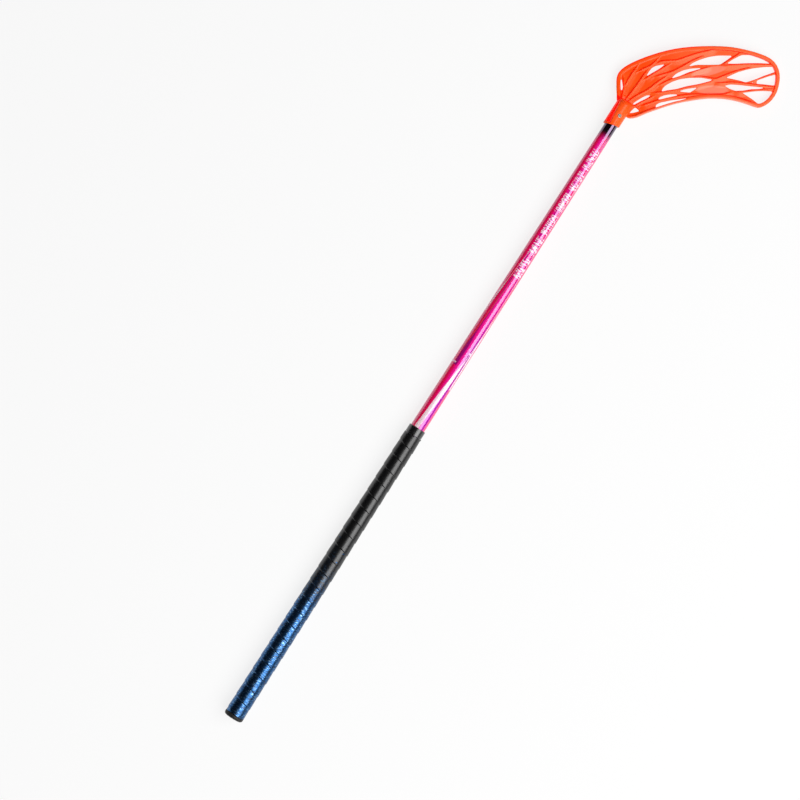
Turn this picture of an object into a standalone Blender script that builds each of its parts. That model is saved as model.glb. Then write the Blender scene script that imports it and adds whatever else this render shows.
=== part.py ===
# Floor hockey stick, lying on its side with the back of the blade up.
#
# The stick's own frame has the shaft's axis on +X, from the outer face of the butt cap towards the blade,
# and +Z out of the back of the blade. The blade reaches towards -Y. At the end the whole stick is rolled
# and pitched until the butt, the neck and the toe touch the floor, and its box is centred on the origin.

import math

import bmesh
import bpy
from mathutils import Matrix, Vector

MM = 0.001

# Clearance left between pieces that touch
FIT_GAP = 0.3 * MM

# Shaft: a tapered composite tube
SHAFT_LENGTH = 1040.0 * MM
SHAFT_BUTT_RADIUS = 11.6 * MM
SHAFT_GRIP_TOP_RADIUS = 11.2 * MM
SHAFT_TIP_RADIUS = 9.35 * MM
SHAFT_WALL = 1.4 * MM
SHAFT_INSERTION = 35.0 * MM

# Grip: one strip wound up the shaft, each turn lapping the last
GRIP_LENGTH = 476.0 * MM
GRIP_BUTT_RADIUS = 14.2 * MM
GRIP_TOP_RADIUS = 13.2 * MM
WRAP_PITCH = 21.8 * MM
WRAP_STEP = 0.7 * MM
WRAP_STEPS_PER_TURN = 24

# Finishing band at the top of the grip
BAND_WIDTH = 11.9 * MM
BAND_THICKNESS = 1.5 * MM
BAND_EDGE = 0.4 * MM

# Butt cap: a well rounded flange that closes the tube and a hollow plug inside it
CAP_FLANGE_THICKNESS = 6.0 * MM
CAP_FLANGE_RADIUS = 14.7 * MM
CAP_EDGE = 4.0 * MM
CAP_EDGE_STEPS = 6
CAP_PLUG_LENGTH = 25.0 * MM
CAP_PLUG_WALL = 2.0 * MM

# Blade: an injection moulding
BLADE_LENGTH = 234.2 * MM
BLADE_HEIGHT = 88.3 * MM
HEEL_ASIDE = 1.55 * MM
LIE_ANGLE = math.radians(57.44)
WEB_THICKNESS = 2.6 * MM
RIM_WIDTH = 5.6 * MM
TOP_RIM_WIDTH = 3.2 * MM
RIM_DEPTH = 8.6 * MM
RIM_EDGE = 1.3 * MM
RIB_DEPTH = 6.6 * MM
RIB_WIDTH = 2.3 * MM
RIB_TIP_WIDTH = 0.5 * MM
RIB_TAPER = 7.0 * MM
WINDOW_CORNER_SHARE = 0.12
HOOK_DEPTH = 22.0 * MM
BEND_START = 22.0 * MM
BEND_POWER = 2.0
BEND_PANELS = 8
EDGE_STEPS = 2

# Neck: the socket that the shaft's end goes into, round a spigot that fills the tube
NECK_LENGTH = 40.8 * MM
NECK_WALL = 2.05 * MM
NECK_MOUTH_CHAMFER = 0.6 * MM
MOUTH_SLANT = math.radians(14.0)
NECK_SHOULDER = 9.0 * MM
SPIGOT_CORE_RADIUS = 4.0 * MM
SPIGOT_CORE_DEPTH = 30.0 * MM

# Screw through the neck, the tube's wall and the spigot, turned about the shaft towards the blade
SCREW_FROM_MOUTH = 17.0 * MM
SCREW_TURN = math.radians(20.0)
SCREW_HEAD_RADIUS = 3.2 * MM
SCREW_HEAD_HEIGHT = 1.7 * MM
SCREW_SHANK_RADIUS = 1.5 * MM
SCREW_LENGTH = 8.0 * MM
SCREW_SEAT_DEPTH = 0.8 * MM
SCREW_SLOT_LENGTH = 3.4 * MM
SCREW_SLOT_WIDTH = 0.9 * MM
SCREW_SLOT_DEPTH = 0.8 * MM

# Sides of the turned pieces
ROUND_STEPS = 48
SMALL_ROUND_STEPS = 24

# Places along the shaft's axis
SHAFT_START = CAP_FLANGE_THICKNESS + FIT_GAP
SHAFT_END = SHAFT_START + SHAFT_LENGTH
MOUTH = SHAFT_END - SHAFT_INSERTION
HEEL = MOUTH + NECK_LENGTH
GRIP_START = CAP_FLANGE_THICKNESS + FIT_GAP
GRIP_END = GRIP_START + GRIP_LENGTH
BAND_START = GRIP_END + FIT_GAP
BAND_END = BAND_START + BAND_WIDTH
SCREW_PLACE = MOUTH + SCREW_FROM_MOUTH

# The neck's radii, from what goes inside it
SOCKET_RADIUS = SHAFT_TIP_RADIUS + FIT_GAP
NECK_RADIUS = SOCKET_RADIUS + NECK_WALL
SPIGOT_RADIUS = SHAFT_TIP_RADIUS - SHAFT_WALL - FIT_GAP
SOCKET_DEPTH = SHAFT_INSERTION + FIT_GAP

# The blade as seen from its back, in millimetres from a point near the heel, where the shaft's axis ends.
# The first number runs along the blade from heel to toe, the second from its top edge to its sole.
HEEL_SOLE_AND_TOE = [
    (-14.0, -1.5), (-15.0, 10.0), (-15.5, 23.0), (-15.0, 35.0), (-11.5, 43.0), (-4.0, 50.0),
    (8.5, 57.0), (25.5, 64.0), (47.0, 71.0), (68.5, 76.0), (93.0, 79.0), (121.5, 80.0),
    (147.5, 79.0), (170.5, 75.0), (190.5, 69.5), (205.0, 63.0), (214.0, 53.5), (218.0, 41.0),
    (217.5, 28.5), (214.0, 15.0), (207.0, 3.5), (197.5, -4.5), (187.0, -8.0), (175.5, -4.5),
    (159.0, 0.5), (139.0, 4.0), (116.0, 4.5),
]
TOP_EDGE = [
    (93.0, 1.5), (70.0, -3.0), (47.0, -10.0), (27.0, -17.0), (14.0, -22.5), (4.0, -24.0), (-3.0, -20.0),
]

# Each point of the outline with the rim's width there
OUTLINE = [(x, y, RIM_WIDTH) for x, y in HEEL_SOLE_AND_TOE] + [(x, y, TOP_RIM_WIDTH) for x, y in TOP_EDGE]

WINDOWS = [
    # Slit beside the heel
    [(-8.5, 36.0), (-9.3, 30.0), (-9.3, 24.0), (-8.9, 16.5), (-7.0, 17.5), (-6.2, 21.5), (-6.6, 25.0),
     (-7.4, 30.0)],
    # Under the sole, near the heel
    [(27.0, 36.0), (31.5, 43.5), (35.5, 48.5), (41.0, 51.5), (54.5, 54.0), (49.0, 49.5), (42.0, 45.0),
     (34.0, 40.5)],
    # Under the sole, middle
    [(87.0, 50.5), (94.5, 56.0), (104.5, 60.5), (117.5, 64.5), (131.5, 66.5), (151.0, 66.5), (143.0, 60.5),
     (133.0, 53.5), (116.0, 53.0), (100.0, 53.0)],
    # Under the sole, toe
    [(142.5, 55.0), (152.0, 61.5), (163.5, 67.5), (176.0, 68.0), (190.5, 64.5), (201.0, 59.5), (207.0, 56.0),
     (187.5, 56.5), (169.0, 56.0), (154.5, 55.0)],
    # Second row, heel side
    [(63.0, 33.0), (70.0, 40.0), (80.0, 45.0), (91.5, 47.5), (109.5, 48.5), (98.5, 45.5), (87.0, 42.0),
     (74.5, 36.5)],
    # Second row, toe side, the largest of the toe
    [(141.0, 34.5), (149.0, 38.5), (159.0, 43.0), (170.5, 46.5), (182.0, 49.0), (197.5, 51.0), (210.0, 51.5),
     (212.5, 44.5), (193.5, 37.5), (177.0, 30.0), (169.0, 28.5), (160.5, 31.0), (150.5, 33.0)],
    # Wedge at the toe
    [(185.0, 26.5), (185.5, 31.0), (197.5, 36.0), (212.5, 40.5), (212.5, 33.0), (211.5, 24.5), (195.0, 26.0)],
    # Third row, heel side, the longest window
    [(49.0, 14.5), (51.5, 19.5), (55.5, 23.5), (64.5, 28.5), (74.5, 32.0), (87.0, 34.0), (104.5, 34.5),
     (124.0, 32.5), (118.0, 29.5), (109.0, 26.5), (97.5, 24.5), (84.5, 22.0), (70.0, 18.0), (58.5, 16.5)],
    # Third row, toe side, narrow
    [(139.0, 23.0), (147.5, 25.0), (159.0, 24.5), (180.5, 22.5), (199.0, 21.0), (187.5, 19.0), (176.0, 18.5),
     (166.0, 16.5), (154.5, 16.0), (146.0, 19.0)],
    # Lower corner of the toe
    [(164.0, 13.0), (180.5, 15.5), (193.5, 16.5), (208.0, 16.0), (205.5, 9.5), (200.5, 3.0), (194.0, -1.0),
     (187.5, -2.5), (178.5, 4.5), (170.5, 9.5)],
    # Small lens below the longest window
    [(73.5, 14.5), (81.5, 17.5), (90.0, 19.0), (101.0, 20.5), (96.0, 17.0), (90.0, 13.0), (82.0, 13.5)],
    # Two narrow lenses along the top edge
    [(44.0, 3.0), (47.0, 6.5), (53.0, 9.0), (63.0, 10.5), (76.0, 10.0), (65.5, 7.5), (58.5, 5.5),
     (51.5, 3.5)],
    [(40.5, -9.0), (41.5, -4.5), (47.0, -1.5), (64.5, 2.0), (90.0, 5.5), (80.0, 2.5), (70.0, 0.0),
     (60.0, -3.0), (50.0, -6.5)],
    # Narrow lens that starts at the neck
    [(6.0, -4.5), (12.5, 0.4), (18.0, 3.8), (23.0, 6.9), (28.0, 9.0), (34.5, 9.2), (28.5, 5.4), (24.0, 3.0),
     (19.0, 0.7), (14.0, -2.0), (9.0, -4.6)],
    # Triangle between the neck and the top edge
    [(3.0, -16.5), (7.5, -11.5), (11.5, -8.0), (17.5, -13.5), (10.5, -15.5)],
    # Pinhole where two ribs of the toe part
    [(179.0, 27.2), (178.9, 28.9), (180.7, 28.9), (180.7, 27.2)],
]

# Ribs, each along its own middle line, from the neck outwards
RIBS = [
    [(-6.3, 41.0), (-4.6, 30.0), (-4.9, 18.0), (-7.5, 6.0), (-10.0, -3.0)],
    [(-2.0, 24.5), (1.9, 31.6), (8.7, 42.3), (17.3, 54.5)],
    [(-3.5, 1.4), (6.3, 12.9), (15.4, 25.1), (19.3, 30.5), (25.0, 39.3), (32.4, 48.1)],
    [(12.3, 41.5), (25.5, 47.7), (33.0, 51.0), (39.9, 56.7), (47.4, 64.9)],
    [(38.0, 52.2), (48.5, 57.2), (57.0, 58.3), (71.4, 59.2), (85.8, 64.0), (103.0, 69.6), (129.6, 75.8)],
    [(21.0, 29.0), (27.5, 33.5), (35.5, 38.5), (44.0, 43.5), (53.0, 49.0), (64.0, 55.5)],
    [(35.2, 33.7), (48.5, 38.0), (63.5, 42.2), (77.2, 49.1), (90.1, 56.7), (103.7, 63.1), (113.8, 67.3)],
    [(-1.0, -1.4), (14.1, 8.6), (28.4, 15.9), (39.2, 24.0), (46.3, 29.3), (61.0, 39.3)],
    [(41.0, 20.7), (52.8, 26.9), (64.3, 31.9), (83.0, 38.2), (103.0, 45.2), (122.0, 50.0)],
    [(-1.0, -11.0), (5.5, -7.8), (12.5, -5.0), (21.0, -0.7), (30.0, 3.8), (41.0, 9.0)],
    [(31.0, 12.0), (48.5, 13.0), (71.5, 17.0), (100.0, 23.5), (120.5, 29.0), (128.0, 33.5)],
    [(15.0, -8.0), (28.5, -3.8), (41.5, 0.6), (64.5, 6.0), (84.0, 9.0), (100.0, 9.9), (125.0, 9.8),
     (139.0, 10.8), (153.0, 14.5)],
    [(121.0, 26.9), (136.0, 26.9), (152.0, 27.4), (165.0, 26.6), (186.5, 24.3), (199.0, 22.8), (214.0, 21.3)],
    [(90.0, 35.0), (106.0, 35.6), (125.0, 32.5), (136.0, 36.2), (150.5, 41.8), (164.4, 46.3), (181.9, 50.4)],
    [(151.0, 13.8), (169.0, 15.0), (183.5, 17.0), (202.0, 18.5), (214.0, 19.5)],
    [(166.5, 74.0), (156.0, 66.0), (144.5, 58.5), (133.0, 50.5)],
    [(131.0, 51.0), (154.5, 53.0), (176.0, 54.0), (212.0, 53.8)],
    [(170.0, 28.0), (185.5, 32.5), (199.0, 37.5), (215.0, 43.0)],
    [(139.0, 8.5), (153.5, 6.0), (167.5, 1.5), (184.0, -4.0)],
    [(3.0, -9.5), (12.0, -6.0), (20.5, -13.5)],
]


def clear_scene():
    """Remove what the scene holds, so that the script can be run again."""
    for old in list(bpy.data.objects):
        bpy.data.objects.remove(old)


def new_collection(name):
    collection = bpy.data.collections.new(name)
    bpy.context.scene.collection.children.link(collection)
    return collection


def make_material(name, colour, roughness, metallic=0.0):
    material = bpy.data.materials.new(name)
    material.use_nodes = True
    shader = material.node_tree.nodes["Principled BSDF"]
    shader.inputs["Base Color"].default_value = (*colour, 1.0)
    shader.inputs["Roughness"].default_value = roughness
    shader.inputs["Metallic"].default_value = metallic
    return material


def interpolate(stations, place):
    """Read a value at a place between stations, each (place, value)."""
    if place <= stations[0][0]:
        return stations[0][1]
    for (start, low), (end, high) in zip(stations, stations[1:]):
        if place <= end:
            return low + (high - low) * (place - start) / (end - start)
    return stations[-1][1]


SHAFT_RADII = [
    (SHAFT_START, SHAFT_BUTT_RADIUS),
    (BAND_END, SHAFT_GRIP_TOP_RADIUS),
    (MOUTH, SHAFT_TIP_RADIUS),
    (SHAFT_END, SHAFT_TIP_RADIUS),
]

GRIP_RADII = [
    (GRIP_START, GRIP_BUTT_RADIUS),
    (GRIP_END, GRIP_TOP_RADIUS),
]


def shaft_radius(place):
    return interpolate(SHAFT_RADII, place)


def add_turned(name, profile, collection, steps=ROUND_STEPS, closed=True):
    """Turn a profile of (radius, height) points about Z. Its outer side runs from top to bottom."""
    mesh = bpy.data.meshes.new(name)
    shape = bmesh.new()
    points = [shape.verts.new((radius, 0.0, height)) for radius, height in profile]
    for start, end in zip(points, points[1:]):
        shape.edges.new((start, end))
    if closed:
        shape.edges.new((points[-1], points[0]))
    shape.to_mesh(mesh)
    shape.free()
    turned = bpy.data.objects.new(name, mesh)
    collection.objects.link(turned)
    screw = turned.modifiers.new("Turn", "SCREW")
    screw.axis = "Z"
    screw.angle = 2.0 * math.pi
    screw.steps = steps
    screw.render_steps = steps
    screw.use_merge_vertices = True
    screw.merge_threshold = 0.01 * MM
    screw.use_smooth_shade = True
    return turned


def lay_along_shaft(turned):
    """Turn a piece that was made about Z so that its height runs along +X."""
    turned.rotation_euler = (0.0, math.radians(90.0), 0.0)
    return turned


def add_cylinder(name, radius, depth, collection, steps=SMALL_ROUND_STEPS):
    mesh = bpy.data.meshes.new(name)
    shape = bmesh.new()
    bmesh.ops.create_cone(shape, cap_ends=True, segments=steps, radius1=radius, radius2=radius, depth=depth)
    shape.to_mesh(mesh)
    shape.free()
    cylinder = bpy.data.objects.new(name, mesh)
    collection.objects.link(cylinder)
    return cylinder


def add_box(name, size, collection):
    mesh = bpy.data.meshes.new(name)
    shape = bmesh.new()
    bmesh.ops.create_cube(shape, size=1.0)
    bmesh.ops.scale(shape, verts=shape.verts, vec=size)
    shape.to_mesh(mesh)
    shape.free()
    box = bpy.data.objects.new(name, mesh)
    collection.objects.link(box)
    return box


def mark_as_cutter(cutter):
    cutter.hide_render = True
    cutter.display_type = "WIRE"


def combine(target, operation, other, solver="EXACT"):
    """Join, cut or trim the target with another object, as a live modifier."""
    boolean = target.modifiers.new(operation.title(), "BOOLEAN")
    boolean.operation = operation
    boolean.solver = solver
    boolean.object = other
    mark_as_cutter(other)


def evaluated_mesh(source):
    """The object's mesh with its modifiers and its place applied."""
    bpy.context.view_layer.update()
    graph = bpy.context.evaluated_depsgraph_get()
    mesh = bpy.data.meshes.new_from_object(source.evaluated_get(graph))
    mesh.transform(source.matrix_world)
    return mesh


def smooth_path(points, steps):
    """Points on a smooth curve through an open row of points."""
    path = []
    last = len(points) - 1
    for index in range(last):
        before = Vector(points[max(index - 1, 0)])
        start = Vector(points[index])
        end = Vector(points[index + 1])
        after = Vector(points[min(index + 2, last)])
        for step in range(steps):
            t = step / steps
            path.append(0.5 * (
                2.0 * start + (end - before) * t
                + (2.0 * before - 5.0 * start + 4.0 * end - after) * t ** 2
                + (3.0 * start - before - 3.0 * end + after) * t ** 3))
    path.append(Vector(points[last]))
    return path


def smooth_loop(points, steps):
    """Points on a smooth curve through a closed row of points."""
    wrapped = [points[-1]] + points + points[:2]
    path = smooth_path(wrapped, steps)
    return path[steps:-steps - 1]


def round_corners(points):
    """Cut each corner of a closed row of points, which rounds its tips."""
    rounded = []
    for start, end in zip(points, points[1:] + points[:1]):
        start = Vector(start)
        end = Vector(end)
        rounded.append(start.lerp(end, WINDOW_CORNER_SHARE))
        rounded.append(start.lerp(end, 1.0 - WINDOW_CORNER_SHARE))
    return rounded


# The outline's own size as drawn above, and the scales that bring it to the blade's size
DRAWN_LENGTH = max(x for x, _, _ in OUTLINE) - min(x for x, _, _ in OUTLINE)
DRAWN_HEIGHT = max(y for _, y, _ in OUTLINE) - min(y for x, y, _ in OUTLINE if x > DRAWN_LENGTH / 2.0)
ALONG_SCALE = BLADE_LENGTH / DRAWN_LENGTH
UP_SCALE = BLADE_HEIGHT / DRAWN_HEIGHT

# Directions in the stick's frame: along the blade from heel to toe, and up from its top edge to its sole
CHORD = Vector((math.cos(LIE_ANGLE), -math.sin(LIE_ANGLE), 0.0))
SOLEWARD = Vector((math.sin(LIE_ANGLE), math.cos(LIE_ANGLE), 0.0))
HEEL_POINT = Vector((HEEL, -HEEL_ASIDE, 0.0))


def blade_place(point):
    """A point of the blade's drawing, in the stick's frame."""
    return HEEL_POINT + CHORD * (point[0] * ALONG_SCALE) + SOLEWARD * (point[1] * UP_SCALE)


def inset_loop(loop, distances):
    """Move a closed row of points inwards, each by its own distance."""
    area = sum(a.x * b.y - b.x * a.y for a, b in zip(loop, loop[1:] + loop[:1]))
    side = 1.0 if area > 0.0 else -1.0
    moved = []
    count = len(loop)
    for index, point in enumerate(loop):
        tangent = (loop[(index + 1) % count] - loop[index - 1]).normalized()
        inward = Vector((-tangent.y, tangent.x, 0.0)) * side
        moved.append(point + inward * distances[index])
    return moved


def ribbon(path, width):
    """The outline of a flat strip along a path, narrowed to its tips at both ends."""
    travelled = [0.0]
    for start, end in zip(path, path[1:]):
        travelled.append(travelled[-1] + (end - start).length)
    length = travelled[-1]
    left = []
    right = []
    for index, point in enumerate(path):
        ahead = path[min(index + 1, len(path) - 1)]
        behind = path[max(index - 1, 0)]
        tangent = (ahead - behind).normalized()
        to_end = min(travelled[index], length - travelled[index])
        share = min(1.0, to_end / RIB_TAPER)
        half = (RIB_TIP_WIDTH + (width - RIB_TIP_WIDTH) * share) / 2.0
        sideways = Vector((-tangent.y, tangent.x, 0.0)) * half
        left.append(point + sideways)
        right.append(point - sideways)
    return left + right[::-1]


def add_plate(name, loops, thickness, collection, edge=0.0):
    """A flat plate from closed outlines, the first its edge and the others its holes."""
    curve = bpy.data.curves.new(name, "CURVE")
    curve.dimensions = "2D"
    curve.fill_mode = "BOTH"
    curve.extrude = thickness / 2.0 - edge
    curve.bevel_depth = edge
    curve.offset = -edge
    curve.bevel_resolution = 0
    for loop in loops:
        spline = curve.splines.new("POLY")
        spline.points.add(len(loop) - 1)
        for point, place in zip(spline.points, loop):
            point.co = (place.x, place.y, 0.0, 1.0)
        spline.use_cyclic_u = True
    outline = bpy.data.objects.new(name + "_outline", curve)
    collection.objects.link(outline)
    mesh = evaluated_mesh(outline)
    bpy.data.objects.remove(outline)
    shape = bmesh.new()
    shape.from_mesh(mesh)
    bmesh.ops.remove_doubles(shape, verts=shape.verts, dist=0.005 * MM)
    bmesh.ops.recalc_face_normals(shape, faces=shape.faces)
    shape.to_mesh(mesh)
    shape.free()
    plate = bpy.data.objects.new(name, mesh)
    collection.objects.link(plate)
    return plate


def add_neck(collection):
    """The neck's outside: a round tube with a slanted mouth, sloping down to the web at its shoulder."""
    # The shoulder ends inside the web
    end_depth = WEB_THICKNESS * 0.4
    slant = math.tan(MOUTH_SLANT)
    # Each station: distance from the mouth, half width, half depth, and how far it leans with the mouth
    stations = [
        (0.0, NECK_RADIUS - NECK_MOUTH_CHAMFER, NECK_RADIUS - NECK_MOUTH_CHAMFER, slant),
        (NECK_MOUTH_CHAMFER, NECK_RADIUS, NECK_RADIUS, slant),
        (SOCKET_DEPTH / 2.0, NECK_RADIUS, NECK_RADIUS, 0.0),
        (SOCKET_DEPTH + NECK_WALL / 2.0, NECK_RADIUS, NECK_RADIUS, 0.0),
        (SOCKET_DEPTH + NECK_WALL + NECK_SHOULDER * 0.25, NECK_RADIUS * 0.97, NECK_RADIUS * 0.86, 0.0),
        (SOCKET_DEPTH + NECK_WALL + NECK_SHOULDER * 0.6, NECK_RADIUS * 0.92, NECK_RADIUS * 0.55, 0.0),
        (SOCKET_DEPTH + NECK_WALL + NECK_SHOULDER, NECK_RADIUS * 0.82, end_depth, 0.0),
    ]
    sides = 32
    shape = bmesh.new()
    rings = []
    for distance, half_width, half_depth, lean in stations:
        ring = []
        for step in range(sides):
            angle = 2.0 * math.pi * step / sides
            aside = half_width * math.cos(angle)
            place = (MOUTH + distance - lean * aside, aside, half_depth * math.sin(angle))
            ring.append(shape.verts.new(place))
        rings.append(ring)
    for ring, following in zip(rings, rings[1:]):
        for step in range(sides):
            after = (step + 1) % sides
            shape.faces.new((ring[step], ring[after], following[after], following[step]))
    shape.faces.new(rings[0][::-1])
    shape.faces.new(rings[-1])
    bmesh.ops.recalc_face_normals(shape, faces=shape.faces)
    mesh = bpy.data.meshes.new("neck_outside")
    shape.to_mesh(mesh)
    shape.free()
    neck = bpy.data.objects.new("neck_outside", mesh)
    collection.objects.link(neck)
    return neck


def turn_with_screw(piece, height):
    """Move a piece that was made about Z to the screw's place, at a height above the shaft's axis."""
    piece.rotation_euler = (SCREW_TURN, 0.0, 0.0)
    piece.location = (SCREW_PLACE, -height * math.sin(SCREW_TURN), height * math.cos(SCREW_TURN))
    return piece


def add_socket_cutters(collection):
    """The ring that the tube's end fills, the spigot's core and the screw's seat and hole."""
    # The cuts start clear of the slanted mouth
    open_end = -(NECK_RADIUS * math.tan(MOUTH_SLANT) + FIT_GAP * 4.0)
    ring = lay_along_shaft(add_turned("socket_ring", [
        (SOCKET_RADIUS, SOCKET_DEPTH),
        (SOCKET_RADIUS, open_end),
        (SPIGOT_RADIUS, open_end),
        (SPIGOT_RADIUS, SOCKET_DEPTH),
    ], collection))
    ring.location = (MOUTH, 0.0, 0.0)
    core = lay_along_shaft(add_turned("spigot_core", [
        (0.0, SPIGOT_CORE_DEPTH + SPIGOT_CORE_RADIUS / 2.0),
        (SPIGOT_CORE_RADIUS, SPIGOT_CORE_DEPTH),
        (SPIGOT_CORE_RADIUS, open_end),
        (0.0, open_end),
    ], collection, SMALL_ROUND_STEPS, closed=False))
    core.location = (MOUTH, 0.0, 0.0)
    hole_top = SCREW_SEAT + NECK_WALL * 2.0
    hole = add_cylinder("screw_hole", SCREW_SHANK_RADIUS + FIT_GAP, hole_top - SCREW_CLEAR, collection)
    turn_with_screw(hole, (hole_top + SCREW_CLEAR) / 2.0)
    seat_height = SCREW_SEAT_DEPTH + NECK_WALL
    seat = add_cylinder("screw_seat", SCREW_HEAD_RADIUS + FIT_GAP * 1.5, seat_height, collection)
    turn_with_screw(seat, SCREW_SEAT + seat_height / 2.0)
    return [ring, core, hole, seat]


# Heights of the screw above the shaft's axis: the face that its head sits on, its point and its hole's end
SCREW_SEAT = NECK_RADIUS - SCREW_SEAT_DEPTH
SCREW_POINT = SCREW_SEAT + FIT_GAP - SCREW_LENGTH
SCREW_CLEAR = SCREW_POINT - FIT_GAP * 2.0


def panel_and_bend(shape):
    """Cut the blade's faces into panels along its length, and bend them down towards the toe."""
    reach = max(x for x, _, _ in OUTLINE) * ALONG_SCALE
    span = reach - BEND_START
    for index in range(BEND_PANELS):
        place = HEEL_POINT + CHORD * (BEND_START + span * index / BEND_PANELS)
        faces = shape.verts[:] + shape.edges[:] + shape.faces[:]
        bmesh.ops.bisect_plane(shape, geom=faces, dist=0.002 * MM, plane_co=place, plane_no=CHORD)
    for vertex in shape.verts:
        along = (vertex.co - HEEL_POINT).dot(CHORD)
        past = along - BEND_START
        if past <= 0.0:
            continue
        drop = HOOK_DEPTH * (past / span) ** BEND_POWER
        slope = math.atan(HOOK_DEPTH * BEND_POWER * (past / span) ** (BEND_POWER - 1.0) / span)
        height = vertex.co.z
        vertex.co += CHORD * (height * math.sin(slope))
        vertex.co.z = height * math.cos(slope) - drop


def make_blade(parts, cutters):
    """The blade: web, rim, neck and ribs as one moulding, with the neck's socket cut in it."""
    outline = smooth_loop(OUTLINE, EDGE_STEPS)
    edge = [blade_place(point) for point in outline]
    rim_widths = [point[2] for point in outline]
    holes = []
    for window in WINDOWS:
        holes.append([blade_place(point) for point in round_corners(window)])
    web = add_plate("web", [edge] + holes, WEB_THICKNESS, cutters)
    members = [
        add_plate("rim", [edge, inset_loop(edge, rim_widths)], RIM_DEPTH, cutters, RIM_EDGE),
        add_neck(cutters),
    ]
    for number, rib in enumerate(RIBS):
        middle = [blade_place(point) for point in rib]
        members.append(add_plate("rib_%02d" % number, [ribbon(middle, RIB_WIDTH)], RIB_DEPTH, cutters))
    # So many members share their faces' heights that the exact solver leaves slivers open at some sizes
    for member in members:
        combine(web, "UNION", member, "MANIFOLD")
    tools = add_socket_cutters(cutters)
    for cutter in tools:
        combine(web, "DIFFERENCE", cutter, "MANIFOLD")
    mesh = evaluated_mesh(web)
    mesh.name = "blade"
    shape = bmesh.new()
    shape.from_mesh(mesh)
    bmesh.ops.remove_doubles(shape, verts=shape.verts, dist=0.002 * MM)
    panel_and_bend(shape)
    bmesh.ops.triangulate(shape, faces=shape.faces)
    shape.to_mesh(mesh)
    shape.free()
    for used in [web] + members + tools:
        bpy.data.objects.remove(used)
    blade = bpy.data.objects.new("blade", mesh)
    parts.objects.link(blade)
    return blade


def make_shaft(parts, cutters):
    """The tube, with the hole that the screw goes through in its upper wall."""
    outer = [(radius, place) for place, radius in SHAFT_RADII]
    inner = [(radius - SHAFT_WALL, place) for place, radius in SHAFT_RADII]
    shaft = lay_along_shaft(add_turned("shaft_tube", outer[::-1] + inner, parts))
    hole_height = SHAFT_TIP_RADIUS * 1.3
    hole = add_cylinder("tube_hole", SCREW_SHANK_RADIUS + FIT_GAP, hole_height, cutters)
    combine(shaft, "DIFFERENCE", turn_with_screw(hole, hole_height / 2.0))
    return shaft


def winding_skin():
    """The outside of the winding: a stepped helix, one turn longer than the grip at each end."""
    rows = [(0.0, 0.0), (0.05, WRAP_STEP), (0.5, WRAP_STEP * 0.62)]
    turns = math.ceil(GRIP_LENGTH / WRAP_PITCH) + 3
    shape = bmesh.new()
    grid = []
    for turn in range(turns):
        for phase, lift in rows:
            line = []
            for step in range(WRAP_STEPS_PER_TURN):
                share = step / WRAP_STEPS_PER_TURN
                place = GRIP_START + WRAP_PITCH * (turn - 1.0 + phase - share)
                radius = interpolate(GRIP_RADII, place) + lift
                angle = 2.0 * math.pi * share
                line.append(shape.verts.new((place, -radius * math.sin(angle), radius * math.cos(angle))))
            grid.append(line)
    shift = len(rows)
    for index in range(len(grid) - 1):
        for step in range(WRAP_STEPS_PER_TURN):
            near = grid[index][step]
            far = grid[index + 1][step]
            if step + 1 < WRAP_STEPS_PER_TURN:
                far_next = grid[index + 1][step + 1]
                near_next = grid[index][step + 1]
            elif index >= shift:
                far_next = grid[index + 1 - shift][0]
                near_next = grid[index - shift][0]
            else:
                continue
            shape.faces.new((near, far, far_next, near_next))
    middle = (GRIP_START + GRIP_END) / 2.0
    for low in (True, False):
        rim = [e for e in shape.edges if e.is_boundary and (e.verts[0].co.x < middle) == low]
        places = [vertex.co.x for e in rim for vertex in e.verts]
        centre = shape.verts.new((sum(places) / len(places), 0.0, 0.0))
        for edge in rim:
            shape.faces.new((edge.verts[0], edge.verts[1], centre))
    bmesh.ops.recalc_face_normals(shape, faces=shape.faces)
    return shape


def make_grip(parts, cutters):
    """The wound grip: the stepped skin trimmed to length and bored to fit the shaft."""
    mesh = bpy.data.meshes.new("grip_wrap")
    skin = winding_skin()
    skin.to_mesh(mesh)
    skin.free()
    grip = bpy.data.objects.new("grip_wrap", mesh)
    parts.objects.link(grip)
    outside = GRIP_BUTT_RADIUS + WRAP_STEP * 6.0
    blank = lay_along_shaft(add_turned("grip_blank", [
        (outside, GRIP_END),
        (outside, GRIP_START),
        (shaft_radius(GRIP_START) + FIT_GAP, GRIP_START),
        (shaft_radius(GRIP_END) + FIT_GAP, GRIP_END),
    ], cutters))
    combine(grip, "INTERSECT", blank)
    print("grip: %.1f turns, lap step %.2f mm" % (GRIP_LENGTH / WRAP_PITCH, WRAP_STEP / MM))
    return grip


def make_band(parts):
    """The finishing band round the shaft where the grip ends."""
    inner_low = shaft_radius(BAND_START) + FIT_GAP
    inner_high = shaft_radius(BAND_END) + FIT_GAP
    return lay_along_shaft(add_turned("finishing_band", [
        (inner_high + BAND_THICKNESS - BAND_EDGE, BAND_END),
        (inner_high + BAND_THICKNESS, BAND_END - BAND_EDGE),
        (inner_low + BAND_THICKNESS, BAND_START + BAND_EDGE),
        (inner_low + BAND_THICKNESS - BAND_EDGE, BAND_START),
        (inner_low, BAND_START),
        (inner_high, BAND_END),
    ], parts))


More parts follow.
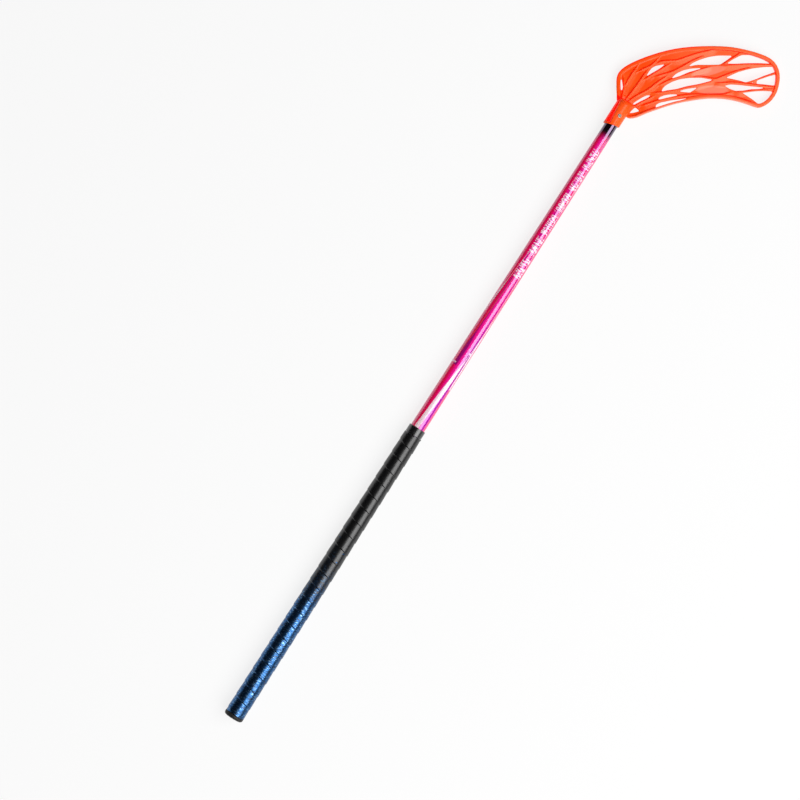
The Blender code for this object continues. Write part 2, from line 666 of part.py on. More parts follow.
def make_butt_cap(parts):
    """The cap: its flange closes the tube's end, and its hollow plug goes inside the tube."""
    plug_radius = SHAFT_BUTT_RADIUS - SHAFT_WALL - FIT_GAP
    # The tube narrows a little along the plug
    plug_end = CAP_FLANGE_THICKNESS + CAP_PLUG_LENGTH
    plug_end_radius = shaft_radius(plug_end) - SHAFT_WALL - FIT_GAP
    edge = []
    for step in range(CAP_EDGE_STEPS + 1):
        angle = math.pi / 2.0 * step / CAP_EDGE_STEPS
        edge.append((
            CAP_FLANGE_RADIUS - CAP_EDGE + CAP_EDGE * math.cos(angle),
            CAP_EDGE - CAP_EDGE * math.sin(angle)))
    return lay_along_shaft(add_turned("butt_cap", [
        (0.0, CAP_FLANGE_THICKNESS),
        (plug_end_radius - CAP_PLUG_WALL, CAP_FLANGE_THICKNESS),
        (plug_end_radius - CAP_PLUG_WALL, plug_end),
        (plug_end_radius, plug_end),
        (plug_radius, CAP_FLANGE_THICKNESS),
        (CAP_FLANGE_RADIUS, CAP_FLANGE_THICKNESS),
    ] + edge + [(0.0, 0.0)], parts, closed=False))


def make_screw(parts, cutters):
    """The screw: a low domed head with a cross in it, and a pointed shank."""
    under = SCREW_SEAT + FIT_GAP
    top = under + SCREW_HEAD_HEIGHT
    screw = add_turned("blade_screw", [
        (0.0, top),
        (SCREW_HEAD_RADIUS * 0.6, top - SCREW_HEAD_HEIGHT * 0.08),
        (SCREW_HEAD_RADIUS * 0.9, top - SCREW_HEAD_HEIGHT * 0.35),
        (SCREW_HEAD_RADIUS, top - SCREW_HEAD_HEIGHT * 0.7),
        (SCREW_HEAD_RADIUS, under),
        (SCREW_SHANK_RADIUS, under),
        (SCREW_SHANK_RADIUS, SCREW_POINT + SCREW_SHANK_RADIUS),
        (0.0, SCREW_POINT),
    ], parts, SMALL_ROUND_STEPS, closed=False)
    turn_with_screw(screw, 0.0)
    height = SCREW_SLOT_DEPTH * 2.0
    for number, size in enumerate((
            (SCREW_SLOT_LENGTH, SCREW_SLOT_WIDTH, height),
            (SCREW_SLOT_WIDTH, SCREW_SLOT_LENGTH, height))):
        slot = add_box("screw_slot_%d" % number, size, cutters)
        combine(screw, "DIFFERENCE", turn_with_screw(slot, top))
    return screw


def lowest(points, roll, pitch):
    """How low the points reach when the stick is rolled and pitched."""
    turn = Matrix.Rotation(pitch, 3, "Y") @ Matrix.Rotation(roll, 3, "X")
    return min((turn @ point).z for point in points)


def find_rest(pieces):
    """The roll and pitch at which the butt, the neck and the toe touch one floor."""
    pitch = math.asin((CAP_FLANGE_RADIUS - NECK_RADIUS) / MOUTH)
    butt = [Vector((CAP_EDGE, 0.0, -CAP_FLANGE_RADIUS))]
    floor = lowest(butt, 0.0, pitch)
    blade = [vertex.co.copy() for vertex in pieces["blade"].data.vertices]
    half_reach = BLADE_LENGTH / 2.0
    toe = [point for point in blade if (point - HEEL_POINT).dot(CHORD) > half_reach]
    low, high = math.radians(-25.0), math.radians(10.0)
    for _ in range(40):
        roll = (low + high) / 2.0
        if lowest(toe, roll, pitch) > floor:
            low = roll
        else:
            high = roll
    print("rest: roll %.3f degrees, pitch %.4f degrees" % (math.degrees(roll), math.degrees(pitch)))
    return roll, pitch


def settle(pieces, cutters):
    """Hang every piece on one empty, lay it on the floor and centre its box on the origin."""
    root = bpy.data.objects.new("stick_root", None)
    bpy.context.scene.collection.objects.link(root)
    roll, pitch = find_rest(pieces)
    for piece in list(pieces.values()) + list(cutters.objects):
        piece.parent = root
    root.rotation_mode = "XYZ"
    root.rotation_euler = (roll, pitch, 0.0)
    corners = []
    for piece in pieces.values():
        mesh = evaluated_mesh(piece)
        corners.extend(vertex.co.copy() for vertex in mesh.vertices)
        bpy.data.meshes.remove(mesh)
    low = Vector(min(corner[axis] for corner in corners) for axis in range(3))
    high = Vector(max(corner[axis] for corner in corners) for axis in range(3))
    root.location = (-(low.x + high.x) / 2.0, -(low.y + high.y) / 2.0, -low.z)
    print("size: %.1f x %.1f x %.1f mm" % tuple((high - low) / MM))
    print("root at %.3f, %.3f, %.3f mm" % tuple(root.location / MM))


def main():
    clear_scene()
    parts = new_collection("floor_hockey_stick")
    cutters = new_collection("cutters")
    pieces = {
        "blade": make_blade(parts, cutters),
        "shaft_tube": make_shaft(parts, cutters),
        "grip_wrap": make_grip(parts, cutters),
        "finishing_band": make_band(parts),
        "butt_cap": make_butt_cap(parts),
        "blade_screw": make_screw(parts, cutters),
    }
    looks = {
        "blade": make_material("orange_plastic", (0.95, 0.12, 0.02), 0.38),
        "shaft_tube": make_material("pink_lacquer", (0.80, 0.005, 0.14), 0.22),
        "grip_wrap": make_material("black_grip", (0.012, 0.012, 0.014), 0.55),
        "finishing_band": make_material("black_band", (0.015, 0.015, 0.017), 0.30),
        "butt_cap": make_material("black_rubber", (0.012, 0.012, 0.014), 0.60),
        "blade_screw": make_material("bright_steel", (0.75, 0.75, 0.76), 0.25, 1.0),
    }
    for name, piece in pieces.items():
        piece.data.materials.append(looks[name])
    settle(pieces, cutters)


main()
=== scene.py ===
# %% [markdown]
# # A floor hockey stick, dressed for its picture
#
# The stick lies on a pale floor with the back of its blade up: an orange openwork blade, a pink lacquered
# shaft and a black wound grip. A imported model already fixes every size. This script loads it, then
# replaces its plain solids with finer ones and gives each a finish made of shader nodes.
#
# Everything is in metres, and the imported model's place is never changed.

import math

import bmesh
import bpy
import numpy as np
from mathutils import Matrix, Vector


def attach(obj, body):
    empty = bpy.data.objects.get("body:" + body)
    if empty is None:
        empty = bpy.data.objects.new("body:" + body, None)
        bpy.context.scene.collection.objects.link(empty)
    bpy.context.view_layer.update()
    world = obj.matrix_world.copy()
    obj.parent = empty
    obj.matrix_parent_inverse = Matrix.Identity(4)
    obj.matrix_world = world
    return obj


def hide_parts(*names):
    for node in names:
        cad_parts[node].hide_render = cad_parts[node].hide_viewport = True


MM = 0.001
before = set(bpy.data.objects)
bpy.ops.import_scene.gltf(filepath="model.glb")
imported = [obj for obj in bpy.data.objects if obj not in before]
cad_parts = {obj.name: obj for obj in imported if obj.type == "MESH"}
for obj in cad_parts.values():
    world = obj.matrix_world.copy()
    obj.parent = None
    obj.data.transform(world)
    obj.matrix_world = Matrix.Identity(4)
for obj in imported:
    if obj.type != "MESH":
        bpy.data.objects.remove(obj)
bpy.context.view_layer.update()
print("packed nodes:", ", ".join(sorted(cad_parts)))

# %% [markdown]
# ## The stick's own frame
#
# Pieces of a stick are easiest to make about its shaft: X runs along the shaft from the butt, Z points
# out of the back of the blade and the blade reaches towards -Y. On the floor the stick is rolled and
# pitched a little, because it touches only at butt, neck and toe. The middles of the tube's two ends give
# the shaft's line, and the point of the screw, which is turned 20 degrees from Z, gives the roll.

# %% Measure the stick's own frame
CAP_FLANGE_THICKNESS = 6.0 * MM
FIT_GAP = 0.3 * MM
TUBE_START = CAP_FLANGE_THICKNESS + FIT_GAP
SCREW_TURN = math.radians(20.0)
END_DEPTH = 1.0 * MM


def get_points(mesh):
    """All corners of a mesh, as rows of x, y and z."""
    flat = np.empty(len(mesh.vertices) * 3)
    mesh.vertices.foreach_get("co", flat)
    return flat.reshape(-1, 3)


tube_points = get_points(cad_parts["shaft_tube"].data)
butt_ring = tube_points[tube_points[:, 0] < tube_points[:, 0].min() + END_DEPTH]
tip_ring = tube_points[tube_points[:, 0] > tube_points[:, 0].max() - END_DEPTH]
tube_from = Vector(butt_ring.mean(axis=0))
tube_to = Vector(tip_ring.mean(axis=0))
axis = (tube_to - tube_from).normalized()
pitch = math.atan2(-axis.z, axis.x)
from_axis = get_points(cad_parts["blade_screw"].data) - np.array(tube_from)
from_axis -= np.outer(from_axis @ np.array(axis), np.array(axis))
screw_point = from_axis[np.argmin(np.linalg.norm(from_axis, axis=1))]
roll = math.atan2(-screw_point[1], screw_point[2]) - SCREW_TURN
root = tube_from - axis * TUBE_START
STICK = Matrix.Translation(root) @ Matrix.Rotation(pitch, 4, "Y") @ Matrix.Rotation(roll, 4, "X")
print("butt at %.3f, %.3f, %.3f mm" % tuple(root / MM))
print("roll %.3f, pitch %.4f degrees" % (math.degrees(roll), math.degrees(pitch)))

# %% [markdown]
# ## Camera
#
# The picture was taken from straight above with the stick lying across the frame's diagonal. A long lens
# from 5 m up keeps the view nearly flat. The camera's right and up are directions on the floor, chosen so
# that the shaft runs up to the right at the picture's own angle.

# %% Set the camera
CAMERA_HEIGHT = 5.0
FIELD = 1.1512
SENSOR = 36.0
CLIP_END = 50.0
AIM = Vector((514.8, 43.2, 0.0)) * MM
RIGHT = Vector((0.53819, -0.84283, 0.0))
UP = Vector((0.84283, 0.53819, 0.0))

camera_data = bpy.data.cameras.new("camera")
camera_data.sensor_width = SENSOR
camera_data.lens = SENSOR * CAMERA_HEIGHT / FIELD
camera_data.clip_end = CLIP_END
camera = bpy.data.objects.new("camera", camera_data)
bpy.context.scene.collection.objects.link(camera)
turn = Matrix((RIGHT, UP, RIGHT.cross(UP))).transposed().to_4x4()
aim_place = STICK @ AIM
camera.matrix_world = Matrix.Translation(aim_place + Vector((0.0, 0.0, CAMERA_HEIGHT))) @ turn
bpy.context.scene.camera = camera
bpy.context.scene.view_settings.view_transform = "Standard"
print("lens %.1f mm, aimed at %.3f, %.3f m" % (camera_data.lens, aim_place.x, aim_place.y))

# %% [markdown]
# ## Shader sums in plain Python
#
# A finish is a net of nodes, and adding them one by one hides the idea behind the wiring. The first class
# below wraps an output socket, so that `1 - mask * 0.5` adds its own Math nodes. The second is the finish:
# one method adds any node, from its type, its settings and what goes into its sockets.

# %% A class for shader sums
class Wire:
    """An output socket that Python's own operators can do sums with."""

    def __init__(self, finish, socket):
        self.finish = finish
        self.socket = socket

    def __add__(self, other):
        return self.finish.maths("ADD", self, other)

    def __radd__(self, other):
        return self.finish.maths("ADD", other, self)

    def __sub__(self, other):
        return self.finish.maths("SUBTRACT", self, other)

    def __rsub__(self, other):
        return self.finish.maths("SUBTRACT", other, self)

    def __mul__(self, other):
        return self.finish.maths("MULTIPLY", self, other)

    def __rmul__(self, other):
        return self.finish.maths("MULTIPLY", other, self)

    def __truediv__(self, other):
        return self.finish.maths("DIVIDE", self, other)

    def __abs__(self):
        return self.finish.maths("ABSOLUTE", self)

    def most(self, other):
        return self.finish.maths("MAXIMUM", self, other)

    def least(self, other):
        return self.finish.maths("MINIMUM", self, other)


# %% A class for a whole finish
class Finish:
    """A material, its shader and the nodes that drive it."""

    def __init__(self, name):
        self.material = bpy.data.materials.new(name)
        self.material.use_nodes = True
        self.tree = self.material.node_tree
        self.shader = self.tree.nodes["Principled BSDF"]

    def node(self, kind, settings=None, sockets=None, output=0):
        """Add a node: its settings first, then the values or links of its sockets."""
        made = self.tree.nodes.new(kind)
        for key, value in (settings or {}).items():
            setattr(made, key, value)
        for key, value in (sockets or {}).items():
            self.feed(made.inputs[key], value)
        return Wire(self, made.outputs[output])

    def feed(self, socket, value):
        """Link a wire to a socket, or set the socket's own value."""
        if isinstance(value, Wire):
            self.tree.links.new(value.socket, socket)
        elif isinstance(value, tuple) and len(value) == 3 and socket.type == "RGBA":
            socket.default_value = (*value, 1.0)
        else:
            socket.default_value = value

    def set(self, **values):
        """Set or link the shader's own sockets, with _ for a space in a socket's name."""
        for key, value in values.items():
            self.feed(self.shader.inputs[key.replace("_", " ")], value)

    def maths(self, operation, *values):
        return self.node("ShaderNodeMath", {"operation": operation}, dict(enumerate(values)))

    def places(self):
        """Object coordinates in the stick's own frame, as one vector and as along, across and upward."""
        coordinates = self.node("ShaderNodeTexCoord", output="Object")
        own = self.node("ShaderNodeMapping", {"vector_type": "TEXTURE"}, {
            "Vector": coordinates, "Location": tuple(root), "Rotation": (roll, pitch, 0.0)})
        split = self.node("ShaderNodeSeparateXYZ", sockets={0: own}).socket.node.outputs
        return own, Wire(self, split[0]), Wire(self, split[1]), Wire(self, split[2])

    def step(self, value, low, high):
        """0 below low, 1 above high, with a soft rise between."""
        return self.node("ShaderNodeMapRange", {"interpolation_type": "SMOOTHSTEP"}, {
            "Value": value, "From Min": low, "From Max": high})

    def noise(self, vector, scale, detail=2.0, roughness=0.5):
        return self.node("ShaderNodeTexNoise", None, {
            "Vector": vector, "Scale": scale, "Detail": detail, "Roughness": roughness})

    def wound_noise(self, place, twist, along_scale, round_scale, detail=1.0):
        """Noise drawn out into streaks that wind about the shaft, with no seam anywhere.

        The place is the three wires along, across and upward, and twist is in radians per metre."""
        along, across, upward = place
        cosine = self.maths("COSINE", along * twist)
        sine = self.maths("SINE", along * twist)
        turned_across = across * cosine - upward * sine
        turned_upward = across * sine + upward * cosine
        vector = self.node("ShaderNodeCombineXYZ", None, {
            0: along * along_scale, 1: turned_across * round_scale, 2: turned_upward * round_scale})
        return self.noise(vector, 1.0, detail, 0.6)

    def mix(self, factor, first, second):
        """Blend two colours."""
        return self.node("ShaderNodeMix", {"data_type": "RGBA"}, {0: factor, 6: first, 7: second}, 2)

    def bump(self, height, strength, distance):
        """Turn heights into a normal, so that grain catches the light."""
        self.set(Normal=self.node("ShaderNodeBump", None, {
            "Height": height, "Strength": strength, "Distance": distance}))


# %% [markdown]
# ## Floor and light
#
# A studio table: a wide pale floor, a room that is white near the horizon and dark overhead, and one long
# softbox on the blade's side of the shaft. A round bar shows a softbox as a stripe. Where the stripe lies
# and how wide it is tell the softbox's height and width, so those were read off the shaft. To the camera
# and in reflections most of the floor's light is its own glow, which keeps it white and its shadows soft.

# %% Lay the floor
FLOOR_RADIUS = 14.0
FLOOR_COLOUR = (0.93, 0.93, 0.93)
FLOOR_GLOW = 0.85

floor_shape = bmesh.new()
bmesh.ops.create_circle(floor_shape, cap_ends=True, segments=64, radius=FLOOR_RADIUS)
floor_mesh = bpy.data.meshes.new("floor")
floor_shape.to_mesh(floor_mesh)
floor_shape.free()
floor = bpy.data.objects.new("floor", floor_mesh)
bpy.context.scene.collection.objects.link(floor)

tabletop = Finish("pale_floor")
tabletop.set(Base_Color=FLOOR_COLOUR, Roughness=0.9, Specular_IOR_Level=0.1)
glow = tabletop.node("ShaderNodeEmission", None, {"Color": (1.0, 1.0, 1.0), "Strength": 1.0})
path = tabletop.tree.nodes.new("ShaderNodeLightPath")
rays = [Wire(tabletop, path.outputs["Is %s Ray" % kind]) for kind in ("Camera", "Glossy", "Transmission")]
seen = (rays[0] + rays[1] + rays[2]).least(1.0)
blended = tabletop.node("ShaderNodeMixShader", None, {
    0: seen * FLOOR_GLOW, 1: Wire(tabletop, tabletop.shader.outputs[0]), 2: glow})
tabletop.feed(tabletop.tree.nodes["Material Output"].inputs["Surface"], blended)
floor_mesh.materials.append(tabletop.material)
print("floor: %.0f m across" % (2.0 * FLOOR_RADIUS))

# %% Light the room
ROOM_OVERHEAD = 0.02
ROOM_HORIZON = 0.95
HORIZON_TOP = 0.02
DARK_FROM = 0.13

world = bpy.data.worlds.new("room")
world.use_nodes = True
bpy.context.scene.world = world
room = world.node_tree
direction = room.nodes.new("ShaderNodeTexCoord")
parts = room.nodes.new("ShaderNodeSeparateXYZ")
room.links.new(direction.outputs["Generated"], parts.inputs[0])
ramp = room.nodes.new("ShaderNodeValToRGB")
levels = ((HORIZON_TOP, ROOM_HORIZON), (DARK_FROM, ROOM_OVERHEAD))
for stop, (place, level) in zip(ramp.color_ramp.elements, levels):
    stop.position = place
    stop.color = (level, level, level, 1.0)
room.links.new(parts.outputs[2], ramp.inputs[0])
room.links.new(ramp.outputs[0], room.nodes["Background"].inputs["Color"])
print("room: %.2f at the horizon, %.2f overhead" % (ROOM_HORIZON, ROOM_OVERHEAD))

# %% Hang the softbox
KEY_ANGLE = math.radians(37.0)
KEY_DISTANCE = 3.0
KEY_LENGTH = 4.3
KEY_WIDTH = 2.3
KEY_RADIANCE = 4.3

lamp_data = bpy.data.lights.new("key_softbox", "AREA")
lamp_data.shape = "RECTANGLE"
lamp_data.size = KEY_LENGTH
lamp_data.size_y = KEY_WIDTH
lamp_data.energy = KEY_RADIANCE * math.pi * KEY_LENGTH * KEY_WIDTH
lamp = bpy.data.objects.new("key_softbox", lamp_data)
bpy.context.scene.collection.objects.link(lamp)
away = Vector((0.0, -math.sin(KEY_ANGLE), math.cos(KEY_ANGLE)))
lamp.location = aim_place + away * KEY_DISTANCE
lamp.rotation_euler = (KEY_ANGLE, 0.0, 0.0)
lamp.visible_camera = False
print("softbox: %.1f by %.1f m, radiance %.1f" % (KEY_LENGTH, KEY_WIDTH, KEY_RADIANCE))

# %% [markdown]
# ## Turned pieces
#
# Tube, band and cap are round. The quickest way to a true round form is to draw half of its section and
# spin it about the shaft's line; a full spin merges its last column with its first. The band's sharp corners
# and the outer edge of the cap's flange are then bevelled, because no real edge is perfectly sharp and a
# bevel is what catches the light.

# %% Helpers for turned pieces
def finish_piece(name, shape, material, nodes):
    """Turn a bmesh made in the stick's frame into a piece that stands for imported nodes."""
    mesh = bpy.data.meshes.new(name)
    shape.transform(STICK)
    shape.to_mesh(mesh)
    shape.free()
    mesh.shade_smooth()
    piece = bpy.data.objects.new(name, mesh)
    bpy.context.scene.collection.objects.link(piece)
    mesh.materials.append(material)
    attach(piece, "root")
    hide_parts(*nodes)
    print("%s: %d faces" % (name, len(mesh.polygons)))


def spin_profile(profile, steps):
    """Spin a closed row of (place, radius) points about the shaft's line."""
    shape = bmesh.new()
    corners = [shape.verts.new((place, 0.0, radius)) for place, radius in profile]
    sides = [shape.edges.new(pair) for pair in zip(corners, corners[1:] + corners[:1])]
    bmesh.ops.spin(shape, geom=corners + sides, axis=(1.0, 0.0, 0.0), angle=2.0 * math.pi, steps=steps,
                   use_merge=True, use_duplicate=False)
    bmesh.ops.remove_doubles(shape, verts=shape.verts, dist=0.001 * MM)
    bmesh.ops.recalc_face_normals(shape, faces=shape.faces)
    return shape


def sharp_edges(shape, least):
    """The edges whose faces meet at more than the least angle, in degrees."""
    return [edge for edge in shape.edges if edge.calc_face_angle(0.0) > math.radians(least)]


def round_edges(shape, edges, width, segments):
    bmesh.ops.bevel(shape, geom=edges, offset=width, offset_type="OFFSET", affect="EDGES", segments=segments,
                    profile=0.5, material=-1, clamp_overlap=True)


# %% [markdown]
# ## Shaft
#
# The shaft is a composite tube, straight to the eye but tapered from butt to neck. Under its clear coat
# lie a hot pink paint, ribbons of white and violet below the grip and a black end at the neck. A row of
# plain slanted strokes decorates the lower half.

# %% Sizes of the tube
SHAFT_LENGTH = 1040.0 * MM
SHAFT_WALL = 1.4 * MM
SHAFT_BUTT_RADIUS = 11.6 * MM
SHAFT_GRIP_TOP_RADIUS = 11.2 * MM
SHAFT_TIP_RADIUS = 9.35 * MM
SHAFT_INSERTION = 35.0 * MM
GRIP_LENGTH = 476.0 * MM
BAND_WIDTH = 11.9 * MM
TUBE_END = TUBE_START + SHAFT_LENGTH
MOUTH = TUBE_END - SHAFT_INSERTION
GRIP_END = TUBE_START + GRIP_LENGTH
BAND_START = GRIP_END + FIT_GAP
BAND_END = BAND_START + BAND_WIDTH
SHAFT_PLACES = (TUBE_START, BAND_END, MOUTH, TUBE_END)
SHAFT_RADII = (SHAFT_BUTT_RADIUS, SHAFT_GRIP_TOP_RADIUS, SHAFT_TIP_RADIUS, SHAFT_TIP_RADIUS)
SHAFT_SIDES = 128
GRIP_SPANS = 8
BARE_SPANS = 24


def shaft_radius(place):
    return float(np.interp(place, SHAFT_PLACES, SHAFT_RADII))


# %% Colours under the clear coat, and its ribbons
PINK = (0.98, 0.003, 0.12)
# Crimson is random tone in the clouds and painted shade on the side away from the softbox
CRIMSON_TONE_AND_SHADE = (0.78, 0.001, 0.055)
# Magenta is a painted sheen beside the softbox's highlight
MAGENTA_SHEEN = (0.85, 0.006, 0.36)
WHITE = (0.90, 0.86, 0.90)
VIOLET = (0.36, 0.004, 0.36)
DEEP_VIOLET = (0.20, 0.003, 0.20)
ORANGE_INK = (0.90, 0.11, 0.01)
PAINT_BLACK = (0.003, 0.001, 0.002)
# A faint pink painted glow keeps the shaded side of the pink bright
PINK_PAINTED_GLOW = (0.16, 0.0, 0.016)

# Start, end, turn at the start, twist, half width and soft edge in turns, and colour of each ribbon
RIBBONS = (
    (BAND_END, 700.0 * MM, 0.10, 0.10, 0.035, 0.03, VIOLET),
    (600.0 * MM, 660.0 * MM, -0.060, 0.30, 0.030, 0.02, DEEP_VIOLET),
    (BAND_END, BAND_END + 130.0 * MM, -0.025, 1.15, 0.042, 0.010, WHITE),
    (BAND_END + 70.0 * MM, 690.0 * MM, 0.175, -0.12, 0.012, 0.006, WHITE),
    (560.0 * MM, 604.0 * MM, -0.16, 0.9, 0.020, 0.010, ORANGE_INK),
    (690.0 * MM, 752.0 * MM, -0.17, 1.6, 0.016, 0.006, WHITE),
)
# Place, first turn and last turn of each short bar
TICKS = ((603.0 * MM, -0.20, -0.06), (623.0 * MM, 0.09, 0.17))
TICK_WIDTH = 2.2 * MM


# %% Ribbons and bars as shader nodes
def ribbon(finish, along, around, start, end, turn_at_start, twist, half_width, soft):
    """A stripe that winds about the shaft and narrows to nothing at its end.

    Angles are in turns from straight up towards the blade's side, and twist is in turns per metre."""
    middle = turn_at_start + (along - start) * twist
    offset = around - middle + 0.5
    away = abs(finish.maths("WRAP", offset, 1.0, 0.0) - 0.5)
    narrowing = 1.0 - finish.step(along, (start + end) / 2.0, end)
    ahead = finish.step(along, start - 0.5 * MM, start + 0.5 * MM)
    return (1.0 - finish.step(away - half_width * narrowing, 0.0, soft)) * ahead


def tick(finish, along, around, place, from_turn, to_turn):
    """A short bar across the shaft."""
    edge = 0.3 * MM
    inside = finish.step(along, place - edge, place) * finish.step(place + TICK_WIDTH - along, 0.0, edge)
    inside = inside * finish.step(around, from_turn, from_turn + 0.004)
    return inside * finish.step(to_turn - around, 0.0, 0.004)


# %% Paint
lacquer = Finish("pink_lacquer")
own, along, across, upward = lacquer.places()
around = lacquer.maths("ARCTAN2", across * -1.0, upward) / (2.0 * math.pi)

cloud = lacquer.noise(own, 24.0, 3.0)
# Random crimson clouds, and crimson painted shade on the side away from the softbox
paint = lacquer.mix(cloud * 0.35 + lacquer.step(abs(around + 0.14), 0.16, 0.02) * 0.45, PINK, CRIMSON_TONE_AND_SHADE)
# A magenta band beside the softbox's highlight is painted sheen
sheen_side = lacquer.step(around, -0.06, 0.0) * lacquer.step(0.10 - around, 0.0, 0.05)
paint = lacquer.mix(sheen_side * 0.8, paint, MAGENTA_SHEEN)
for *course, colour in RIBBONS:
    paint = lacquer.mix(ribbon(lacquer, along, around, *course), paint, colour)
for bar in TICKS:
    paint = lacquer.mix(tick(lacquer, along, around, *bar), paint, WHITE)

# %% Rows of slanted strokes
STROKES_START = 752.0 * MM
STROKES_END = 975.0 * MM
GROUP_LENGTH = 37.0 * MM
scratches = lacquer.wound_noise((along, across, upward), 95.0, 620.0, 130.0)
strokes = lacquer.step(scratches, 0.50, 0.56)
in_group = lacquer.maths("FRACT", (along - STROKES_START) / GROUP_LENGTH)
gaps = lacquer.step(in_group, 0.0, 0.02) * lacquer.step(0.86 - in_group, 0.0, 0.02)
ends = lacquer.step(along, STROKES_START, STROKES_START + 1.0 * MM)
ends = ends * lacquer.step(STROKES_END - along, 0.0, 1.0 * MM)
sides = lacquer.step(around, -0.035, -0.028) * lacquer.step(0.165 - around, 0.0, 0.007)
paint = lacquer.mix(strokes * gaps * ends * sides, paint, WHITE)

# %% [markdown]
# Below the mouth of the neck the pink fades to black, and the tube is black again under the winding and
# its band, so that nothing pink shows in the fine gap between them.

# %% Black ends and clear coat
BLACK_END = 11.5 * MM
BLACK_FADE = 17.0 * MM
fade = lacquer.step(along + (cloud - 0.5) * 6.0 * MM, MOUTH - BLACK_END - BLACK_FADE, MOUTH - BLACK_END)
covered = lacquer.step(BAND_END - 0.5 * MM - along, 0.0, 0.3 * MM)
black = fade.most(covered)
paint = lacquer.mix(black, paint, PAINT_BLACK)

orange_peel = lacquer.noise(own, 900.0, 1.0)
lacquer.set(Base_Color=paint, Roughness=0.30 + (cloud - 0.5) * 0.08 - fade * 0.18,
            Coat_Weight=1.0, Coat_Roughness=0.08)
lacquer.set(Coat_IOR=1.75, Specular_IOR_Level=1.0, Specular_Tint=(0.80, 0.25, 1.0))
# Painted glow: the pink glows faintly outside the black parts
lacquer.set(Emission_Color=lacquer.mix(black, PINK_PAINTED_GLOW, (0.0, 0.0, 0.0)), Emission_Strength=1.0)
lacquer.bump(orange_peel, 0.08, 0.1 * MM)

# %% Make the shaft
under_grip = np.linspace(TUBE_START, BAND_END, GRIP_SPANS + 1)
stations = [*under_grip, *np.linspace(BAND_END, MOUTH, BARE_SPANS + 1)[1:], TUBE_END]
outer = [(place, shaft_radius(place)) for place in stations]
inner = [(place, shaft_radius(place) - SHAFT_WALL) for place in (TUBE_END, MOUTH, BAND_END, TUBE_START)]
tube = spin_profile(outer + inner, SHAFT_SIDES)
finish_piece("shaft", tube, lacquer.material, ["shaft_tube"])

# %% [markdown]
# ## Grip
#
# The grip is one cushioned strip, wound from the butt up so that each turn laps the last. Its section
# over one pitch is a small rounded step and a gentle slope. Spun about the shaft with a shift along it,
# that section winds into the whole grip in one operation, and the turns' shared edges are merged.

# %% Sizes of the winding
GRIP_BUTT_RADIUS = 14.2 * MM
GRIP_TOP_RADIUS = 13.2 * MM
WRAP_PITCH = 21.8 * MM
WRAP_STEP = 0.7 * MM
WRAP_SIDES = 64
SPARE_TURNS = 3

# Share of the pitch and share of the step's height, over one turn of the strip
LAP_SECTION = [(0.0, 0.0), (0.006, 0.30), (0.016, 0.66), (0.032, 0.92), (0.055, 1.0), (0.09, 0.98),
               (0.20, 0.86), (0.38, 0.70), (0.56, 0.54), (0.74, 0.36), (0.88, 0.16), (0.95, 0.05), (1.0, 0.0)]

# %% Wind the grip
turns = math.ceil(GRIP_LENGTH / WRAP_PITCH) + SPARE_TURNS
winding = bmesh.new()
corners = []
for share, lift in LAP_SECTION:
    place = TUBE_START + WRAP_PITCH * (turns - SPARE_TURNS + 1.0 + share)
    corners.append(winding.verts.new((place, 0.0, GRIP_TOP_RADIUS + WRAP_STEP * lift)))
sides = [winding.edges.new(pair) for pair in zip(corners, corners[1:])]
bmesh.ops.spin(winding, geom=corners + sides, axis=(1.0, 0.0, 0.0), angle=2.0 * math.pi * turns,
               dvec=(-WRAP_PITCH / WRAP_SIDES, 0.0, 0.0), steps=WRAP_SIDES * turns, use_merge=False,
               use_duplicate=False)
bmesh.ops.remove_doubles(winding, verts=winding.verts, dist=0.01 * MM)
for place, outward in ((TUBE_START, (-1.0, 0.0, 0.0)), (GRIP_END, (1.0, 0.0, 0.0))):
    everything = winding.verts[:] + winding.edges[:] + winding.faces[:]
    bmesh.ops.bisect_plane(winding, geom=everything, dist=0.001 * MM, plane_co=(place, 0.0, 0.0),
                           plane_no=outward, clear_outer=True)
print("winding: %d turns, %d faces" % (turns, len(winding.faces)))

# %% Taper the grip and close its ends
GRIP_RADII = (GRIP_BUTT_RADIUS, GRIP_TOP_RADIUS)
for corner in winding.verts:
    radius = math.hypot(corner.co.y, corner.co.z)
    wanted = radius + np.interp(corner.co.x, (TUBE_START, GRIP_END), GRIP_RADII) - GRIP_TOP_RADIUS
    corner.co.y *= wanted / radius
    corner.co.z *= wanted / radius
for place in (TUBE_START, GRIP_END):
    rim = [edge for edge in winding.edges if edge.is_boundary and abs(edge.verts[0].co.x - place) < 1.0 * MM]
    turned_in = bmesh.ops.extrude_edge_only(winding, edges=rim)["geom"]
    for corner in [part for part in turned_in if isinstance(part, bmesh.types.BMVert)]:
        radius = math.hypot(corner.co.y, corner.co.z)
        corner.co.y *= (shaft_radius(place) + FIT_GAP) / radius
        corner.co.z *= (shaft_radius(place) + FIT_GAP) / radius
rims = [edge for edge in winding.edges if edge.is_boundary]
print("open edges before the bore:", len(rims))
bmesh.ops.bridge_loops(winding, edges=rims)
bmesh.ops.recalc_face_normals(winding, faces=winding.faces)

# %% [markdown]
# ### Finish of the grip
#
# The strip is soft black plastic with a fine grain. On the butt's half it carries fine metallic blue
# dashes, brightest where the softbox's stripe crosses them. A metal mirrors its room and has no colour of
# its own in the dark, so the dashes are metallic and the rest is plain black.

# %% Soft black plastic with blue dashes
GRIP_BLACK = (0.003, 0.003, 0.0035)
NAVY = (0.002, 0.004, 0.014)
DASH_BLUE = (0.03, 0.11, 0.28)
DASH_PALE = (0.22, 0.40, 0.60)
DASHES_END = 285.0 * MM
STRAYS_END = 340.0 * MM

